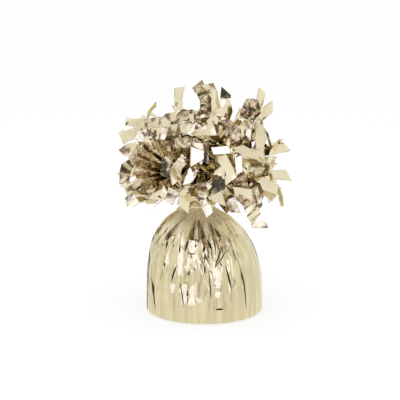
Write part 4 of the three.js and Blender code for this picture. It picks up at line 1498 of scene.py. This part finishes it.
def ground_finish(colour):
    """A pale floor that takes the weight's shadow. Seen directly or mirrored, most of it is plain white."""
    shader = Shader("pale_ground")
    paint = shader.node("ShaderNodeBsdfDiffuse", Color=(*colour, 1)).outputs[0]
    white = shader.node("ShaderNodeEmission", Color=(1, 1, 1, 1), Strength=1.0).outputs[0]
    rays = shader.node("ShaderNodeLightPath").outputs
    seen = Value(shader, rays["Is Camera Ray"]) + Value(shader, rays["Is Glossy Ray"])
    seen = seen + Value(shader, rays["Is Transmission Ray"])
    blend = shader.tree.nodes.new("ShaderNodeMixShader")
    for place, value in ((0, seen * PLAIN_SHARE), (1, paint), (2, white)):
        shader.fill(blend.inputs[place], value)
    shader.node("ShaderNodeOutputMaterial", Surface=blend.outputs[0])
    return shader.material


# Lamps round the weight: azimuth, elevation, distance, width, height and radiance
LAMPS = (
    ("left_box", -36, 22, 0.7, 0.24, 0.5, 1.55),
    ("right_box", 34, 22, 0.7, 0.2, 0.45, 1.5),
    ("top_box", 0, 80, 0.8, 0.5, 0.5, 1.3),
)
COOL_WHITE = (1.5, 1.55, 2.05)
BROWN = (0.17, 0.11, 0.07)
# Cards round the weight: azimuth, elevation, distance, width, height and brightness
CARDS = (
    ("left_white", -30, 18.5, 0.7, 0.26, 0.7, COOL_WHITE),
    ("right_white", 25, 18.5, 0.7, 0.24, 0.7, COOL_WHITE),
    ("top_white", 10, 84, 0.8, 0.40, 0.4, (1.3, 1.3, 1.6)),
    ("camera_black", 0, 11, 0.9, 0.20, 0.5, (0.02, 0.018, 0.014)),
    ("front_brown", 0, 45, 0.9, 0.50, 0.6, BROWN),
    ("left_brown", -70, 40, 0.9, 0.14, 0.7, BROWN),
    ("right_brown", 62, 38, 0.9, 0.12, 0.6, BROWN),
    ("right_tan", 95, 50, 1.0, 0.80, 0.7, (0.80, 0.70, 0.56)),
    ("left_flag", -160, 0, 0.6, 0.11, 0.5, BROWN),
    ("right_flag", 160, 7, 0.6, 0.10, 0.2, BROWN),
)


class WEIGHT_OT_studio(bpy.types.Operator):
    """Build the floor, the lamps, the cards and the camera"""

    bl_idname = "weight.studio"
    bl_label = "Studio"

    def execute(self, context):
        scene = context.scene
        studio = scene.weight_studio
        scene.view_settings.view_transform = "Standard"

        middle = Vector((0, 0, FLOOR_LEVEL))
        right, back = Vector((FLOOR_HALF, 0, 0)), Vector((0, FLOOR_HALF, 0))
        ground = rectangle("ground", middle, right, back, ground_finish(studio.ground))
        ground.visible_glossy = False
        for lamp in LAMPS:
            soft_box(*lamp)
        for card in CARDS:
            reflection_card(*card)

        world = scene.world or bpy.data.worlds.new("white_tent")
        scene.world = world
        world.use_nodes = True
        background = world.node_tree.nodes["Background"].inputs
        background["Color"].default_value = (1, 1, 1, 1)
        background["Strength"].default_value = 1.0

        lens = bpy.data.cameras.new("camera")
        lens.sensor_width = 36
        lens.lens = lens.sensor_width * studio.distance / studio.view_width
        camera = bpy.data.objects.new("camera", lens)
        scene.collection.objects.link(camera)
        target = Vector((studio.target_x, 0, studio.target_z))
        back = Vector((0, -math.cos(studio.elevation), math.sin(studio.elevation)))
        camera.location = target + studio.distance * back
        camera.rotation_euler = (-back).to_track_quat("-Z", "Y").to_euler()
        scene.camera = camera
        return {"FINISHED"}


# The sidebar and the run


class WEIGHT_PT_steps(bpy.types.Panel):
    """The steps in the order in which they run, and the sizes and colours that they use"""

    bl_idname = "WEIGHT_PT_steps"
    bl_label = "Foil balloon weight"
    bl_space_type = "VIEW_3D"
    bl_region_type = "UI"
    bl_category = "Weight"

    def draw(self, context):
        for operator in OPERATORS:
            self.layout.operator(operator.bl_idname)
        for name, group in GROUPS.items():
            box = self.layout.box()
            for value in group.__annotations__:
                box.prop(getattr(context.scene, name), value)


GROUPS = {
    "weight_wrap": WrapSizes,
    "weight_fringe": FringeSizes,
    "weight_finishes": Finishes,
    "weight_studio": Studio,
}
OPERATORS = (
    WEIGHT_OT_studio,
    WEIGHT_OT_hidden_core,
    WEIGHT_OT_foil_wrap,
    WEIGHT_OT_twist_tie,
    WEIGHT_OT_fringe,
    WEIGHT_OT_fringe_filling,
)


def register():
    for name, group in GROUPS.items():
        bpy.utils.register_class(group)
        setattr(bpy.types.Scene, name, PointerProperty(type=group))
    for kind in (*OPERATORS, WEIGHT_PT_steps):
        bpy.utils.register_class(kind)


def unregister():
    for kind in (WEIGHT_PT_steps, *reversed(OPERATORS)):
        bpy.utils.unregister_class(kind)
    for name, group in GROUPS.items():
        delattr(bpy.types.Scene, name)
        bpy.utils.unregister_class(group)


def main():
    register()
    bpy.ops.weight.studio()
    bpy.ops.weight.hidden_core()
    bpy.ops.weight.foil_wrap()
    bpy.ops.weight.twist_tie()
    bpy.ops.weight.fringe()
    bpy.ops.weight.fringe_filling()


if __name__ == "__main__":
    main()
